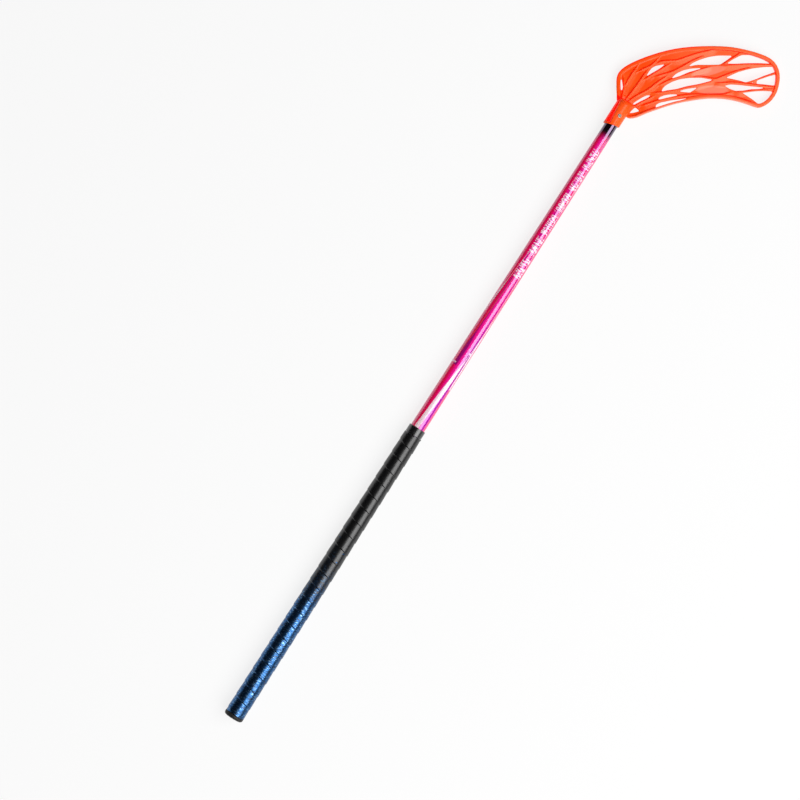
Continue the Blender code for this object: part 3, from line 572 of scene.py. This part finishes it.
padding = Finish("black_grip")
own, along, across, upward = padding.places()
grain = padding.noise(own, 2200.0, 2.0, 0.6)
wander = padding.noise(own, 30.0, 2.0)
near_butt = padding.step(DASHES_END - along + (wander - 0.5) * 60.0 * MM, 0.0, 120.0 * MM)
hatch = padding.wound_noise((along, across, upward), -70.0, 900.0, 210.0, 2.0)
dashes = padding.step(hatch + near_butt * 0.16, 0.50, 0.66) * near_butt
bright_dashes = padding.step(hatch, 0.56, 0.66)
stray = padding.step(padding.wound_noise((along, across, upward), -70.0, 500.0, 90.0), 0.70, 0.74)
stray = stray * padding.step(STRAYS_END - along, 0.0, 60.0 * MM)
blue = padding.mix(bright_dashes, DASH_BLUE, DASH_PALE)
shine = dashes.most(stray * 0.6)
ground = padding.mix(near_butt, GRIP_BLACK, NAVY)
padding.set(Base_Color=padding.mix(shine, ground, blue), Metallic=(shine * 2.5).least(1.0))
padding.set(Roughness=0.31 + (grain - 0.5) * 0.10, Specular_IOR_Level=0.75)
padding.bump(grain, 0.25, 0.12 * MM)
finish_piece("grip", winding, padding.material, ["grip_wrap"])

# %% [markdown]
# ## Finishing band
#
# A short turn of glossy tape holds the winding's last turn. It is a thin ring with soft edges.

# %% Make the finishing band
BAND_THICKNESS = 1.5 * MM
BAND_EDGE = 0.4 * MM
low = shaft_radius(BAND_START) + FIT_GAP
high = shaft_radius(BAND_END) + FIT_GAP
ring = spin_profile([(BAND_START, low), (BAND_END, high), (BAND_END, high + BAND_THICKNESS),
                     (BAND_START, low + BAND_THICKNESS)], SHAFT_SIDES)
round_edges(ring, sharp_edges(ring, 35.0), BAND_EDGE, 3)

tape = Finish("black_band")
own, *_ = tape.places()
wrinkles = tape.noise(own, 140.0, 3.0)
tape.set(Base_Color=tape.mix(wrinkles, (0.002, 0.002, 0.0025), (0.005, 0.005, 0.006)))
tape.set(Roughness=0.26 + wrinkles * 0.10, Specular_IOR_Level=1.0, Coat_Weight=0.35, Coat_Roughness=0.18)
tape.bump(wrinkles, 0.2, 0.4 * MM)
finish_piece("band", ring, tape.material, ["finishing_band"])

# %% [markdown]
# ## Butt cap
#
# A rubber cap closes the tube. Its flange is as wide as the wound grip and its plug sits inside the tube.
# A shallow dish with a raised rim finishes the end face.

# %% Make the butt cap
CAP_FLANGE_RADIUS = 14.7 * MM
CAP_EDGE = 4.0 * MM
CAP_PLUG_LENGTH = 25.0 * MM
CAP_PLUG_WALL = 2.0 * MM
CAP_DISH = 0.5 * MM
CAP_DISH_RADIUS = 8.5 * MM
CAP_SIDES = 96
plug_end = CAP_FLANGE_THICKNESS + CAP_PLUG_LENGTH
plug_radius = shaft_radius(TUBE_START) - SHAFT_WALL - FIT_GAP
plug_end_radius = shaft_radius(plug_end) - SHAFT_WALL - FIT_GAP
cap_profile = [
    (CAP_DISH, 0.0),
    (CAP_DISH, CAP_DISH_RADIUS),
    (0.0, CAP_DISH_RADIUS + CAP_DISH),
    (0.0, CAP_FLANGE_RADIUS),
    (CAP_FLANGE_THICKNESS, CAP_FLANGE_RADIUS),
    (CAP_FLANGE_THICKNESS, plug_radius),
    (plug_end, plug_end_radius),
    (plug_end, plug_end_radius - CAP_PLUG_WALL),
    (CAP_FLANGE_THICKNESS, plug_end_radius - CAP_PLUG_WALL),
    (CAP_FLANGE_THICKNESS, 0.0),
]
cap_shape = spin_profile(cap_profile, CAP_SIDES)
outer_edges = []
for edge in sharp_edges(cap_shape, 60.0):
    inmost = min(math.hypot(corner.co.y, corner.co.z) for corner in edge.verts)
    if inmost > CAP_FLANGE_RADIUS - 0.1 * MM and edge.verts[0].co.x < CAP_FLANGE_THICKNESS / 2.0:
        outer_edges.append(edge)
round_edges(cap_shape, outer_edges, CAP_EDGE, 10)

rubber = Finish("black_rubber")
own, *_ = rubber.places()
grain = rubber.noise(own, 1500.0, 2.0, 0.6)
rubber.set(Base_Color=rubber.mix(grain, (0.009, 0.009, 0.010), (0.016, 0.016, 0.017)))
rubber.set(Roughness=0.55 + (grain - 0.5) * 0.2, Specular_IOR_Level=0.4)
rubber.bump(grain, 0.3, 0.1 * MM)
finish_piece("cap", cap_shape, rubber.material, ["butt_cap"])

# %% [markdown]
# ## Blade
#
# The blade is one moulding: a thin web with windows, a deeper rim, about twenty ribs that fan out from
# the neck, and the neck itself. Each rib is a crest with a steep wall on one side and a long slope on the
# other. Sweeping solids for them would hang over the windows, so the web is shaped like a relief instead:
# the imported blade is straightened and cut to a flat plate, the plate is meshed finely, and every point is
# then lifted to the height that rim and ribs have there. The neck is joined on and the bend put back.

# %% Sizes of the blade
LIE_ANGLE = math.radians(57.44)
NECK_LENGTH = 40.8 * MM
HEEL = MOUTH + NECK_LENGTH
HEEL_ASIDE = 1.55 * MM
BLADE_LENGTH = 234.2 * MM
BLADE_HEIGHT = 88.3 * MM
DRAWN_LENGTH = 233.5
DRAWN_HEIGHT = 88.0
ALONG_SCALE = BLADE_LENGTH / DRAWN_LENGTH
UP_SCALE = BLADE_HEIGHT / DRAWN_HEIGHT
HOOK_DEPTH = 22.0 * MM
BEND_START = 22.0 * MM
BLADE_REACH = 218.0 * ALONG_SCALE
NECK_RADIUS = SHAFT_TIP_RADIUS + FIT_GAP + 2.05 * MM
WEB_THICKNESS = 2.6 * MM
RIM_DEPTH = 8.6 * MM
RIM_WIDTH = 5.6 * MM
TOP_RIM_WIDTH = 3.2 * MM
RIM_EDGE = 1.3 * MM
RIB_DEPTH = 6.6 * MM
BLADE_VOXEL = 0.55 * MM

CHORD = np.array((math.cos(LIE_ANGLE), -math.sin(LIE_ANGLE)))
SOLEWARD = np.array((math.sin(LIE_ANGLE), math.cos(LIE_ANGLE)))
HEEL_POINT = np.array((HEEL, -HEEL_ASIDE))

# %% [markdown]
# The crests are drawn on the blade's own plan, in millimetres: the first number runs along the blade from
# heel to toe, the second from its top edge to its sole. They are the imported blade's ribs.

# %% Crests of the ribs
RIBS = [
    [(-6.3, 41.0), (-4.6, 30.0), (-4.9, 18.0), (-7.5, 6.0), (-10.0, -3.0)],
    [(-2.0, 24.5), (1.9, 31.6), (8.7, 42.3), (17.3, 54.5)],
    [(-3.5, 1.4), (6.3, 12.9), (15.4, 25.1), (19.3, 30.5), (25.0, 39.3), (32.4, 48.1)],
    [(12.3, 41.5), (25.5, 47.7), (33.0, 51.0), (39.9, 56.7), (47.4, 64.9)],
    [(38.0, 52.2), (48.5, 57.2), (57.0, 58.3), (71.4, 59.2), (85.8, 64.0), (103.0, 69.6), (129.6, 75.8)],
    [(21.0, 29.0), (27.5, 33.5), (35.5, 38.5), (44.0, 43.5), (53.0, 49.0), (64.0, 55.5)],
    [(35.2, 33.7), (48.5, 38.0), (63.5, 42.2), (77.2, 49.1), (90.1, 56.7), (103.7, 63.1), (113.8, 67.3)],
    [(-1.0, -1.4), (14.1, 8.6), (28.4, 15.9), (39.2, 24.0), (46.3, 29.3), (61.0, 39.3)],
    [(41.0, 20.7), (52.8, 26.9), (64.3, 31.9), (83.0, 38.2), (103.0, 45.2), (122.0, 50.0)],
    [(-1.0, -11.0), (5.5, -7.8), (12.5, -5.0), (21.0, -0.7), (30.0, 3.8), (41.0, 9.0)],
    [(31.0, 12.0), (48.5, 13.0), (71.5, 17.0), (100.0, 23.5), (120.5, 29.0), (128.0, 33.5)],
    [(15.0, -8.0), (28.5, -3.8), (41.5, 0.6), (64.5, 6.0), (84.0, 9.0), (100.0, 9.9), (125.0, 9.8),
     (139.0, 10.8), (153.0, 14.5)],
    [(121.0, 26.9), (136.0, 26.9), (152.0, 27.4), (165.0, 26.6), (186.5, 24.3), (199.0, 22.8), (214.0, 21.3)],
    [(90.0, 35.0), (106.0, 35.6), (125.0, 32.5), (136.0, 36.2), (150.5, 41.8), (164.4, 46.3), (181.9, 50.4)],
    [(151.0, 13.8), (169.0, 15.0), (183.5, 17.0), (202.0, 18.5), (214.0, 19.5)],
    [(166.5, 74.0), (156.0, 66.0), (144.5, 58.5), (133.0, 50.5)],
    [(131.0, 51.0), (154.5, 53.0), (176.0, 54.0), (212.0, 53.8)],
    [(170.0, 28.0), (185.5, 32.5), (199.0, 37.5), (215.0, 43.0)],
    [(139.0, 8.5), (153.5, 6.0), (167.5, 1.5), (184.0, -4.0)],
    [(3.0, -9.5), (12.0, -6.0), (20.5, -13.5)],
]

# %% Straighten and bend
BEND_ROUNDS = 12


def bend_at(place):
    """How far the bend has dropped at a place along the blade, and its slope there."""
    span = BLADE_REACH - BEND_START
    past = np.maximum(place - BEND_START, 0.0) / span
    return HOOK_DEPTH * past ** 2, np.arctan(2.0 * HOOK_DEPTH * past / span)


def straighten(points):
    """Undo the blade's bend: points in the stick's frame, as rows of x, y and z."""
    plan = points[:, :2] - HEEL_POINT
    seen_place = plan @ CHORD
    place = seen_place.copy()
    for _ in range(BEND_ROUNDS):
        drop, slope = bend_at(place)
        height = (points[:, 2] + drop) / np.cos(slope)
        place = seen_place - height * np.sin(slope)
    straight = points.copy()
    straight[:, :2] += np.outer(place - seen_place, CHORD)
    straight[:, 2] = height
    return straight


def put_bend_back(points):
    """Bend straight points down towards the toe."""
    place = (points[:, :2] - HEEL_POINT) @ CHORD
    drop, slope = bend_at(place)
    bent = points.copy()
    bent[:, :2] += np.outer(points[:, 2] * np.sin(slope), CHORD)
    bent[:, 2] = points[:, 2] * np.cos(slope) - drop
    return bent


def set_points(mesh, points):
    mesh.vertices.foreach_set("co", points.ravel())
    mesh.update()


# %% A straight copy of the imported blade
copy = bmesh.new()
copy.from_mesh(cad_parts["blade"].data)
bmesh.ops.remove_doubles(copy, verts=copy.verts, dist=0.002 * MM)
bmesh.ops.recalc_face_normals(copy, faces=copy.faces)
copy.transform(STICK.inverted())
straight_mesh = bpy.data.meshes.new("straight_blade")
copy.to_mesh(straight_mesh)
copy.free()
set_points(straight_mesh, straighten(get_points(straight_mesh)))
straight_points = get_points(straight_mesh)
print("straight blade: z from %.2f to %.2f mm" % (
    straight_points[:, 2].min() / MM, straight_points[:, 2].max() / MM))

# %% [markdown]
# A Boolean with a thin slab cuts the flat plate out of the straight blade, windows and socket included.
# A second Boolean, with a box round the neck, keeps the neck whole. Remesh lays an even fine mesh over
# the plate, and over plate and neck once they are joined.

# %% Helpers for the cuts
def loose_object(name, mesh):
    made = bpy.data.objects.new(name, mesh)
    bpy.context.scene.collection.objects.link(made)
    return made


def box_object(name, low, high):
    shape = bmesh.new()
    bmesh.ops.create_cube(shape, size=1.0)
    bmesh.ops.scale(shape, verts=shape.verts, vec=Vector(high) - Vector(low))
    bmesh.ops.translate(shape, verts=shape.verts, vec=(Vector(high) + Vector(low)) / 2.0)
    mesh = bpy.data.meshes.new(name)
    shape.to_mesh(mesh)
    shape.free()
    return loose_object(name, mesh)


def applied(source):
    """The object's mesh with its modifiers applied. The object itself is removed."""
    bpy.context.view_layer.update()
    graph = bpy.context.evaluated_depsgraph_get()
    mesh = bpy.data.meshes.new_from_object(source.evaluated_get(graph))
    bpy.data.objects.remove(source)
    return mesh


def inside(mesh, cutter):
    """The part of a mesh that lies inside the cutter. The cutter is removed."""
    body = loose_object("cut_body", mesh)
    boolean = body.modifiers.new("Cut", "BOOLEAN")
    boolean.operation = "INTERSECT"
    boolean.solver = "EXACT"
    boolean.object = cutter
    result = applied(body)
    bpy.data.objects.remove(cutter)
    return result


def remeshed(mesh):
    body = loose_object("remesh_body", mesh)
    remesh = body.modifiers.new("Remesh", "REMESH")
    remesh.mode = "VOXEL"
    remesh.voxel_size = BLADE_VOXEL
    return applied(body)


# %% Cut the plate and the neck
FAR = 400.0 * MM
NECK_CLEAR = 10.0 * MM
NECK_OVERLAP = 4.0 * MM
NECK_SIDE = 12.2 * MM
NECK_TOP = 15.0 * MM

half_web = WEB_THICKNESS / 2.0
slab = box_object("slab", (MOUTH - FAR, -FAR, -half_web), (MOUTH + FAR, FAR, half_web))
plate = inside(straight_mesh.copy(), slab)
neck_box = box_object("neck_box", (MOUTH - NECK_CLEAR, -NECK_SIDE, -NECK_TOP),
                      (HEEL + NECK_OVERLAP, NECK_SIDE, NECK_TOP))
neck = inside(straight_mesh.copy(), neck_box)
print("plate %d faces, neck %d faces" % (len(plate.polygons), len(neck.polygons)))

# %% The blade's outer edge, read off the plate
def outer_loop(mesh):
    """The plan of the longest row of edges between the plate's top and its walls."""
    shape = bmesh.new()
    shape.from_mesh(mesh)
    rows = {}
    for edge in shape.edges:
        if len(edge.link_faces) == 2:
            first, second = sorted(face.normal.z for face in edge.link_faces)
            if second > 0.9 and first < 0.5:
                one, other = (vertex.index for vertex in edge.verts)
                rows.setdefault(one, []).append(other)
                rows.setdefault(other, []).append(one)
    points = {vertex.index: (vertex.co.x, vertex.co.y) for vertex in shape.verts}
    shape.free()
    best = []
    left = set(rows)
    while left:
        start = left.pop()
        loop = [start]
        current = start
        while True:
            onward = [index for index in rows[current] if index in left]
            if not onward:
                break
            current = onward[0]
            left.discard(current)
            loop.append(current)
        if len(loop) > 10:
            plan = np.array([points[index] for index in loop])
            if not len(best) or np.ptp(plan[:, 0]) > np.ptp(np.array(best)[:, 0]):
                best = plan
    return np.array(best)


outline = outer_loop(plate)
print("outline: %d points, %.1f x %.1f mm" % (len(outline), *(np.ptp(outline, axis=0) / MM)))

# %% Rows of points on the plan
CURVE_STEPS = 6


def smooth(share):
    """0 below 0, 1 above 1, with a soft rise between."""
    share = np.clip(share, 0.0, 1.0)
    return share * share * (3.0 - 2.0 * share)


def blade_plan(point):
    """A point of the blade's drawing, in metres on the stick's plan."""
    return HEEL_POINT + CHORD * point[0] * ALONG_SCALE + SOLEWARD * point[1] * UP_SCALE


def nearest_on_row(plan, row, closed):
    """For each point: how far the row of points is, on which side, and how far along it."""
    best = np.full(len(plan), 1.0)
    side = np.zeros(len(plan))
    along_row = np.zeros(len(plan))
    travelled = 0.0
    pairs = list(zip(row, np.roll(row, -1, axis=0))) if closed else list(zip(row[:-1], row[1:]))
    for start, end in pairs:
        length = np.linalg.norm(end - start)
        if length < 0.001 * MM:
            continue
        direction = (end - start) / length
        from_start = plan - start
        share = np.clip(from_start @ direction, 0.0, length)
        away = from_start - np.outer(share, direction)
        distance = np.linalg.norm(away, axis=1)
        nearer = distance < best
        best[nearer] = distance[nearer]
        turn_side = direction[0] * from_start[:, 1] - direction[1] * from_start[:, 0]
        side[nearer] = np.sign(turn_side[nearer])
        along_row[nearer] = travelled + share[nearer]
        travelled += length
    return best, side, along_row, travelled


def softened_row(points):
    """A smooth curve through an open row of plan points."""
    row = np.array([blade_plan(point) for point in points])
    padded = np.vstack([2.0 * row[0] - row[1], row, 2.0 * row[-1] - row[-2]])
    curve = []
    for index in range(1, len(padded) - 2):
        before, start, end, after = padded[index - 1:index + 3]
        for step in range(CURVE_STEPS):
            t = step / CURVE_STEPS
            curve.append(0.5 * (2.0 * start + (end - before) * t
                                + (2.0 * before - 5.0 * start + 4.0 * end - after) * t ** 2
                                + (3.0 * start - before - 3.0 * end + after) * t ** 3))
    curve.append(row[-1])
    return np.array(curve)


# %% Heights of the ribs
RIB_WALL = 1.2 * MM
RIB_CREST = 0.4 * MM
RIB_SLOPE = 7.0 * MM
RIB_FADE = 14.0 * MM
RIB_OVERRUN = 1.0 * MM
RIB_REACH = 6.0 * MM
SHADE_SPREAD = 0.75 * MM

# Ribs whose first crest point lies between these drawn places run on into the neck at full height
NECK_ROOTS = (-4.0, 0.0)


def rib_relief(plan):
    """Half thickness of web and ribs at each plan point, and how much painted shade each rib's steep wall
    gets there.
    """
    height = np.full(len(plan), half_web)
    shade_share = np.zeros(len(plan))
    rise = RIB_DEPTH / 2.0 - half_web
    # The steep side of every rib faces the corner between heel and sole
    steep = SOLEWARD - CHORD
    for rib in RIBS:
        row = softened_row(rib)
        distance, side, along_row, length = nearest_on_row(plan, row, False)
        overall = row[-1] - row[0]
        facing = np.sign(overall[0] * steep[1] - overall[1] * steep[0])
        signed = distance * side * facing
        starts_at_neck = NECK_ROOTS[0] < rib[0][0] < NECK_ROOTS[1]
        to_end = length - along_row if starts_at_neck else np.minimum(along_row, length - along_row)
        strength = smooth((to_end + RIB_OVERRUN) / RIB_FADE)
        on_wall = 1.0 - smooth((signed - RIB_CREST) / RIB_WALL)
        on_slope = 1.0 - np.clip((-signed - RIB_CREST) / RIB_SLOPE, 0.0, 1.0)
        shape = np.where(signed > 0.0, on_wall, on_slope)
        height = np.maximum(height, half_web + rise * strength * shape)
        # Each rib's steep wall gets painted shade, which the finish turns deep red
        wall_shade = np.exp(-((signed - RIB_CREST - RIB_WALL * 0.6) / SHADE_SPREAD) ** 2)
        shade_share = np.maximum(shade_share, wall_shade * strength * (distance < RIB_REACH))
    return height, shade_share


# %% Height of the rim
RIM_WALL = 1.2 * MM
RIM_SLOPE = 20.0 * MM
SOLE_THINNING = 1.5 * MM
SOLE_SHADE_SPREAD = 1.7 * MM

# In the drawing's millimetres: where the top edge's rim is narrow, where the sole's rim is gentle (its
# start, and how far it takes to change) and where the top edge gets a painted highlight
NARROW_BELOW = 2.5
NARROW_PLACES = (-8.0, 105.0)
GENTLE_ABOVE = (22.0, 14.0)
GENTLE_BEFORE = (125.0, 40.0)
HIGHLIGHT_BELOW = 22.0
HIGHLIGHT_PLACES = (5.0, 185.0)


def between(values, ends):
    return (values > ends[0]) & (values < ends[1])


def rim_relief(plan):
    """Half thickness of the rim at each plan point, where its walls and sole edge get painted shade, and
    where the top edge gets a painted highlight.
    """
    distance, _, _, _ = nearest_on_row(plan, outline, True)
    drawn_height = (plan - HEEL_POINT) @ SOLEWARD / UP_SCALE
    drawn_place = (plan - HEEL_POINT) @ CHORD / ALONG_SCALE
    narrow = (drawn_height < NARROW_BELOW) & between(drawn_place, NARROW_PLACES)
    width = np.where(narrow, TOP_RIM_WIDTH, RIM_WIDTH)
    # Along the sole's first half the rim is lower and falls to the web in one long slope
    gentle = smooth((drawn_height - GENTLE_ABOVE[0]) / GENTLE_ABOVE[1])
    gentle = gentle * smooth((GENTLE_BEFORE[0] - drawn_place) / GENTLE_BEFORE[1])
    full = RIM_DEPTH / 2.0 - SOLE_THINNING * gentle
    rounded = np.sqrt(np.clip(1.0 - (1.0 - np.clip(distance / RIM_EDGE, 0.0, 1.0)) ** 2, 0.0, 1.0))
    rim = full - RIM_EDGE + RIM_EDGE * rounded
    fall = smooth((distance - width + RIM_WALL / 2.0) / RIM_WALL)
    slope = np.clip((distance - RIM_EDGE) / RIM_SLOPE, 0.0, 1.0)
    fall = fall * (1.0 - gentle) + slope * gentle
    rim = rim * (1.0 - fall) + half_web * fall
    # Painted shade at the foot of the rim's steep inner wall and along the sole's outer edge
    rim_foot_shade = np.exp(-((distance - width) / SHADE_SPREAD) ** 2) * (1.0 - gentle)
    sole_edge_shade = np.exp(-(distance / SOLE_SHADE_SPREAD) ** 2) * gentle
    # A painted highlight along the top edge, which the finish turns paler
    highlit_top_edge = (drawn_height < HIGHLIGHT_BELOW) & between(drawn_place, HIGHLIGHT_PLACES)
    pale = (1.0 - smooth(distance / TOP_RIM_WIDTH)) * highlit_top_edge
    return rim, np.maximum(0.6 * rim_foot_shade, sole_edge_shade), pale


def relief(points):
    """Half thickness of the blade at each point, how much painted shade it gets there, and how much painted
    highlight.
    """
    web_height, rib_shade = rib_relief(points[:, :2])
    rim_height, rim_shade, pale = rim_relief(points[:, :2])
    return np.maximum(web_height, rim_height), np.maximum(rib_shade, rim_shade), pale


# %% Lift the plate into its relief
plate = remeshed(plate)
points = get_points(plate)
height, _, _ = relief(points)
points[:, 2] *= height / half_web
set_points(plate, points)
print("relief: %d points, up to %.2f mm" % (len(points), points[:, 2].max() / MM))

# %% Join plate and neck, and mesh them as one
joined = bmesh.new()
joined.from_mesh(plate)
joined.from_mesh(neck)
joined_mesh = bpy.data.meshes.new("joined_blade")
joined.to_mesh(joined_mesh)
joined.free()
blade_mesh = remeshed(joined_mesh)
print("joined blade: %d faces" % len(blade_mesh.polygons))

# %% [markdown]
# The neck is not a plain tube either. Along its middle runs a raised land that holds the screw, beside it
# on the sole's side lies a scooped flute, and a low step marks where the web begins. All of these are
# pushes along the neck's own radius, so they are done the same way: a share from 0 to 1 says where each
# one is, and the points move by its depth.

# %% Land, flute and step of the neck
LAND_RISE = 0.9 * MM
FLUTE_DEPTH = 1.3 * MM
STEP_DEPTH = 0.5 * MM
UPPER_FACE = 1.0 * MM
SKIN_INSIDE = 1.2 * MM
SKIN_OUTSIDE = 1.0 * MM
LAND_END = 3.0 * MM
FLUTE_SIDE = 8.9 * MM
STEP_SIDE = 9.0 * MM

# The land's edges towards the sole and the top edge: y at the mouth, and how far it moves by the heel
LAND_LEFT = (2.4 * MM, 5.4 * MM)
LAND_RIGHT = (-5.9 * MM, -1.5 * MM)


def neck_shares(points):
    """How far each point belongs to the neck's land, its flute, the step at its end and its flank."""
    x, y, z = points[:, 0], points[:, 1], points[:, 2]
    share = np.clip((x - MOUTH) / (HEEL - MOUTH), 0.0, 1.2)
    radius = np.hypot(y, z)
    upper = z > UPPER_FACE
    outer = upper & between(radius, (SHAFT_TIP_RADIUS + SKIN_INSIDE, NECK_RADIUS + SKIN_OUTSIDE))
    left = LAND_LEFT[0] + LAND_LEFT[1] * share
    right = LAND_RIGHT[0] + LAND_RIGHT[1] * share
    beyond_mouth = smooth((x - MOUTH - 0.5 * MM) / (1.5 * MM))
    land = smooth((left - y) / (1.4 * MM)) * smooth((y - right) / (2.5 * MM)) * beyond_mouth
    land = land * smooth((HEEL - LAND_END - x) / LAND_END)
    flute = smooth((y - left) / (2.0 * MM)) * smooth((FLUTE_SIDE - y) / (1.4 * MM)) * beyond_mouth
    step = np.exp(-((x - HEEL - 0.2 * MM) / (0.8 * MM)) ** 2) * smooth((STEP_SIDE - abs(y)) / (2.0 * MM))
    flank = smooth((y - left + 1.0 * MM) / (1.0 * MM)) * beyond_mouth
    flank = flank * smooth((HEEL + 2.0 * MM - x) / (2.0 * MM))
    return land * outer, flute * outer, step * upper, flank * upper


def shape_neck(points):
    """Push the neck's upper face out or in by its land, flute and step."""
    land, flute, step, _ = neck_shares(points)
    radius = np.maximum(np.hypot(points[:, 1], points[:, 2]), 1.0 * MM)
    scale = 1.0 + (LAND_RISE * land - FLUTE_DEPTH * flute - STEP_DEPTH * step) / radius
    pushed = points.copy()
    pushed[:, 1] *= scale
    pushed[:, 2] *= scale
    return pushed


# %% Shape the neck and bend the blade
smoothing = bmesh.new()
smoothing.from_mesh(blade_mesh)
bmesh.ops.smooth_vert(smoothing, verts=smoothing.verts, factor=0.4, use_axis_x=True, use_axis_y=True,
                      use_axis_z=True)
smoothing.to_mesh(blade_mesh)
smoothing.free()
points = get_points(blade_mesh)
ceiling, shade_share, pale = relief(points)
on_neck = smooth((HEEL + 0.5 * MM - points[:, 0]) / (1.0 * MM))
_, flute, step, flank = neck_shares(points)
# The neck's flute, flank and end step get the same painted shade
shade_share = np.maximum(shade_share * (1.0 - on_neck), np.maximum(np.maximum(flute, 0.8 * flank), 0.9 * step))
lowered = np.sign(points[:, 2]) * np.minimum(abs(points[:, 2]), ceiling)
points[:, 2] += (lowered - points[:, 2]) * (1.0 - on_neck)
set_points(blade_mesh, put_bend_back(shape_neck(points)))
# The crease attribute holds the painted shade, the pale attribute the top edge's painted highlight
for name, values in (("crease", shade_share), ("pale", pale)):
    attribute = blade_mesh.attributes.new(name, "FLOAT", "POINT")
    attribute.data.foreach_set("value", values.astype(np.float32))
print("creases on %.0f%% of the blade's points" % (100.0 * np.mean(shade_share > 0.5)))

# %% [markdown]
# ### Finish of the blade
#
# The plastic is a fluorescent orange. Steep walls and creases get painted shade, deep red, while open webs
# stay orange: the relief's own wall share, kept as an attribute on the mesh, drives that colour and a painted
# glow of the same red, and the whole blade has a faint painted glow. A second attribute marks a painted
# highlight along the paler top edge, and two lenses between the ribs get a paler painted sheen.

# %% Orange plastic
ORANGE = (1.0, 0.075, 0.002)
ORANGE_PALE = (1.0, 0.110, 0.012)
# Paler orange towards the toe is painted sheen
TOE_SHEEN_ORANGE = (1.0, 0.120, 0.028)
# Deep red is painted shade on walls and creases, and both glows are painted glow
SHADE_RED = (0.85, 0.004, 0.0)
# Paler colour of the painted sheen and the painted highlight
PAINTED_SHEEN = (1.0, 0.270, 0.170)
PAINTED_GLOW = (0.22, 0.008, 0.0)
SHADE_GLOW_RED = (0.70, 0.003, 0.0)

# The two lenses of painted sheen between the ribs: middle along and up, rise, half length and half height in
# mm
SHEEN_PANELS = ((117.0, 43.6, 0.22, 27.0, 6.6), (122.0, 17.0, 0.0, 26.0, 7.0))

plastic = Finish("orange_plastic")
own, along, across, _ = plastic.places()
# The painted shade and the painted highlight, read from the mesh
creases = plastic.node("ShaderNodeAttribute", {"attribute_name": "crease"}, output="Fac")
top_highlight = plastic.node("ShaderNodeAttribute", {"attribute_name": "pale"}, output="Fac")
mottle = plastic.noise(own, 22.0, 3.0)
fine = plastic.noise(own, 1400.0, 2.0, 0.6)
toeward = (along - HEEL) * CHORD[0] + (across + HEEL_ASIDE) * CHORD[1]
colour = plastic.mix(plastic.step(mottle, 0.35, 0.70), ORANGE, ORANGE_PALE)
# Paler towards the toe: painted sheen
colour = plastic.mix(plastic.step(toeward, 10.0 * MM, 130.0 * MM), colour, TOE_SHEEN_ORANGE)
soleward = (along - HEEL) * SOLEWARD[0] + (across + HEEL_ASIDE) * SOLEWARD[1]
# Two paler lenses of painted sheen between the ribs
for middle_along, middle_up, rise, half_length, half_height in SHEEN_PANELS:
    from_middle = toeward - middle_along * MM
    from_line = soleward - middle_up * MM - from_middle * rise
    from_middle = from_middle / (half_length * MM)
    from_line = from_line / (half_height * MM)
    reach = from_middle * from_middle + from_line * from_line
    colour = plastic.mix(plastic.step(reach, 1.0, 0.60) * 0.9, colour, PAINTED_SHEEN)
# The top edge's painted highlight
colour = plastic.mix(top_highlight * 0.8, colour, PAINTED_SHEEN)
# Deep red painted shade on walls and creases
colour = plastic.mix(plastic.step(creases, 0.18, 0.70), colour, SHADE_RED)
plastic.set(Base_Color=colour, Roughness=0.32 + (fine - 0.5) * 0.10, Specular_IOR_Level=0.42)
# Painted glow: faint everywhere, deep red on the painted shade
plastic.set(Emission_Color=plastic.mix(creases, PAINTED_GLOW, SHADE_GLOW_RED), Emission_Strength=1.0)
plastic.set(Specular_Tint=(1.0, 0.75, 0.60))
plastic.bump(fine, 0.15, 0.08 * MM)

shape = bmesh.new()
shape.from_mesh(blade_mesh)
finish_piece("blade_moulding", shape, plastic.material, ["blade"])

# %% [markdown]
# ## Screw
#
# One small steel screw holds the blade on the tube. The imported screw already has its domed head and its
# cross, so it stays and only gets its steel: plain steel on the rim of the head and painted shade over the
# cross, darker and less metallic where the distance from the screw's own line is small.

# %% Steel for the screw
SCREW_FROM_MOUTH = 17.0 * MM

steel = Finish("bright_steel")
own, along, across, upward = steel.places()
scuffs = steel.noise(own, 900.0, 3.0)
beside = across * math.cos(SCREW_TURN) + upward * math.sin(SCREW_TURN)
ahead = along - MOUTH - SCREW_FROM_MOUTH
from_line = steel.maths("SQRT", ahead * ahead + beside * beside)
# Painted shade over the cross: darker and less metallic near the screw's own line
cross_shade = 1.0 - steel.step(from_line, 1.2 * MM, 2.0 * MM)
metal = steel.mix(scuffs, (0.42, 0.36, 0.31), (0.55, 0.48, 0.42))
steel.set(Base_Color=steel.mix(cross_shade * 0.85, metal, (0.07, 0.05, 0.04)), Metallic=1.0 - cross_shade * 0.5)
steel.set(Roughness=0.30 + scuffs * 0.15)
steel.bump(scuffs, 0.1, 0.05 * MM)
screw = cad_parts["blade_screw"]
screw.data.materials.clear()
screw.data.materials.append(steel.material)
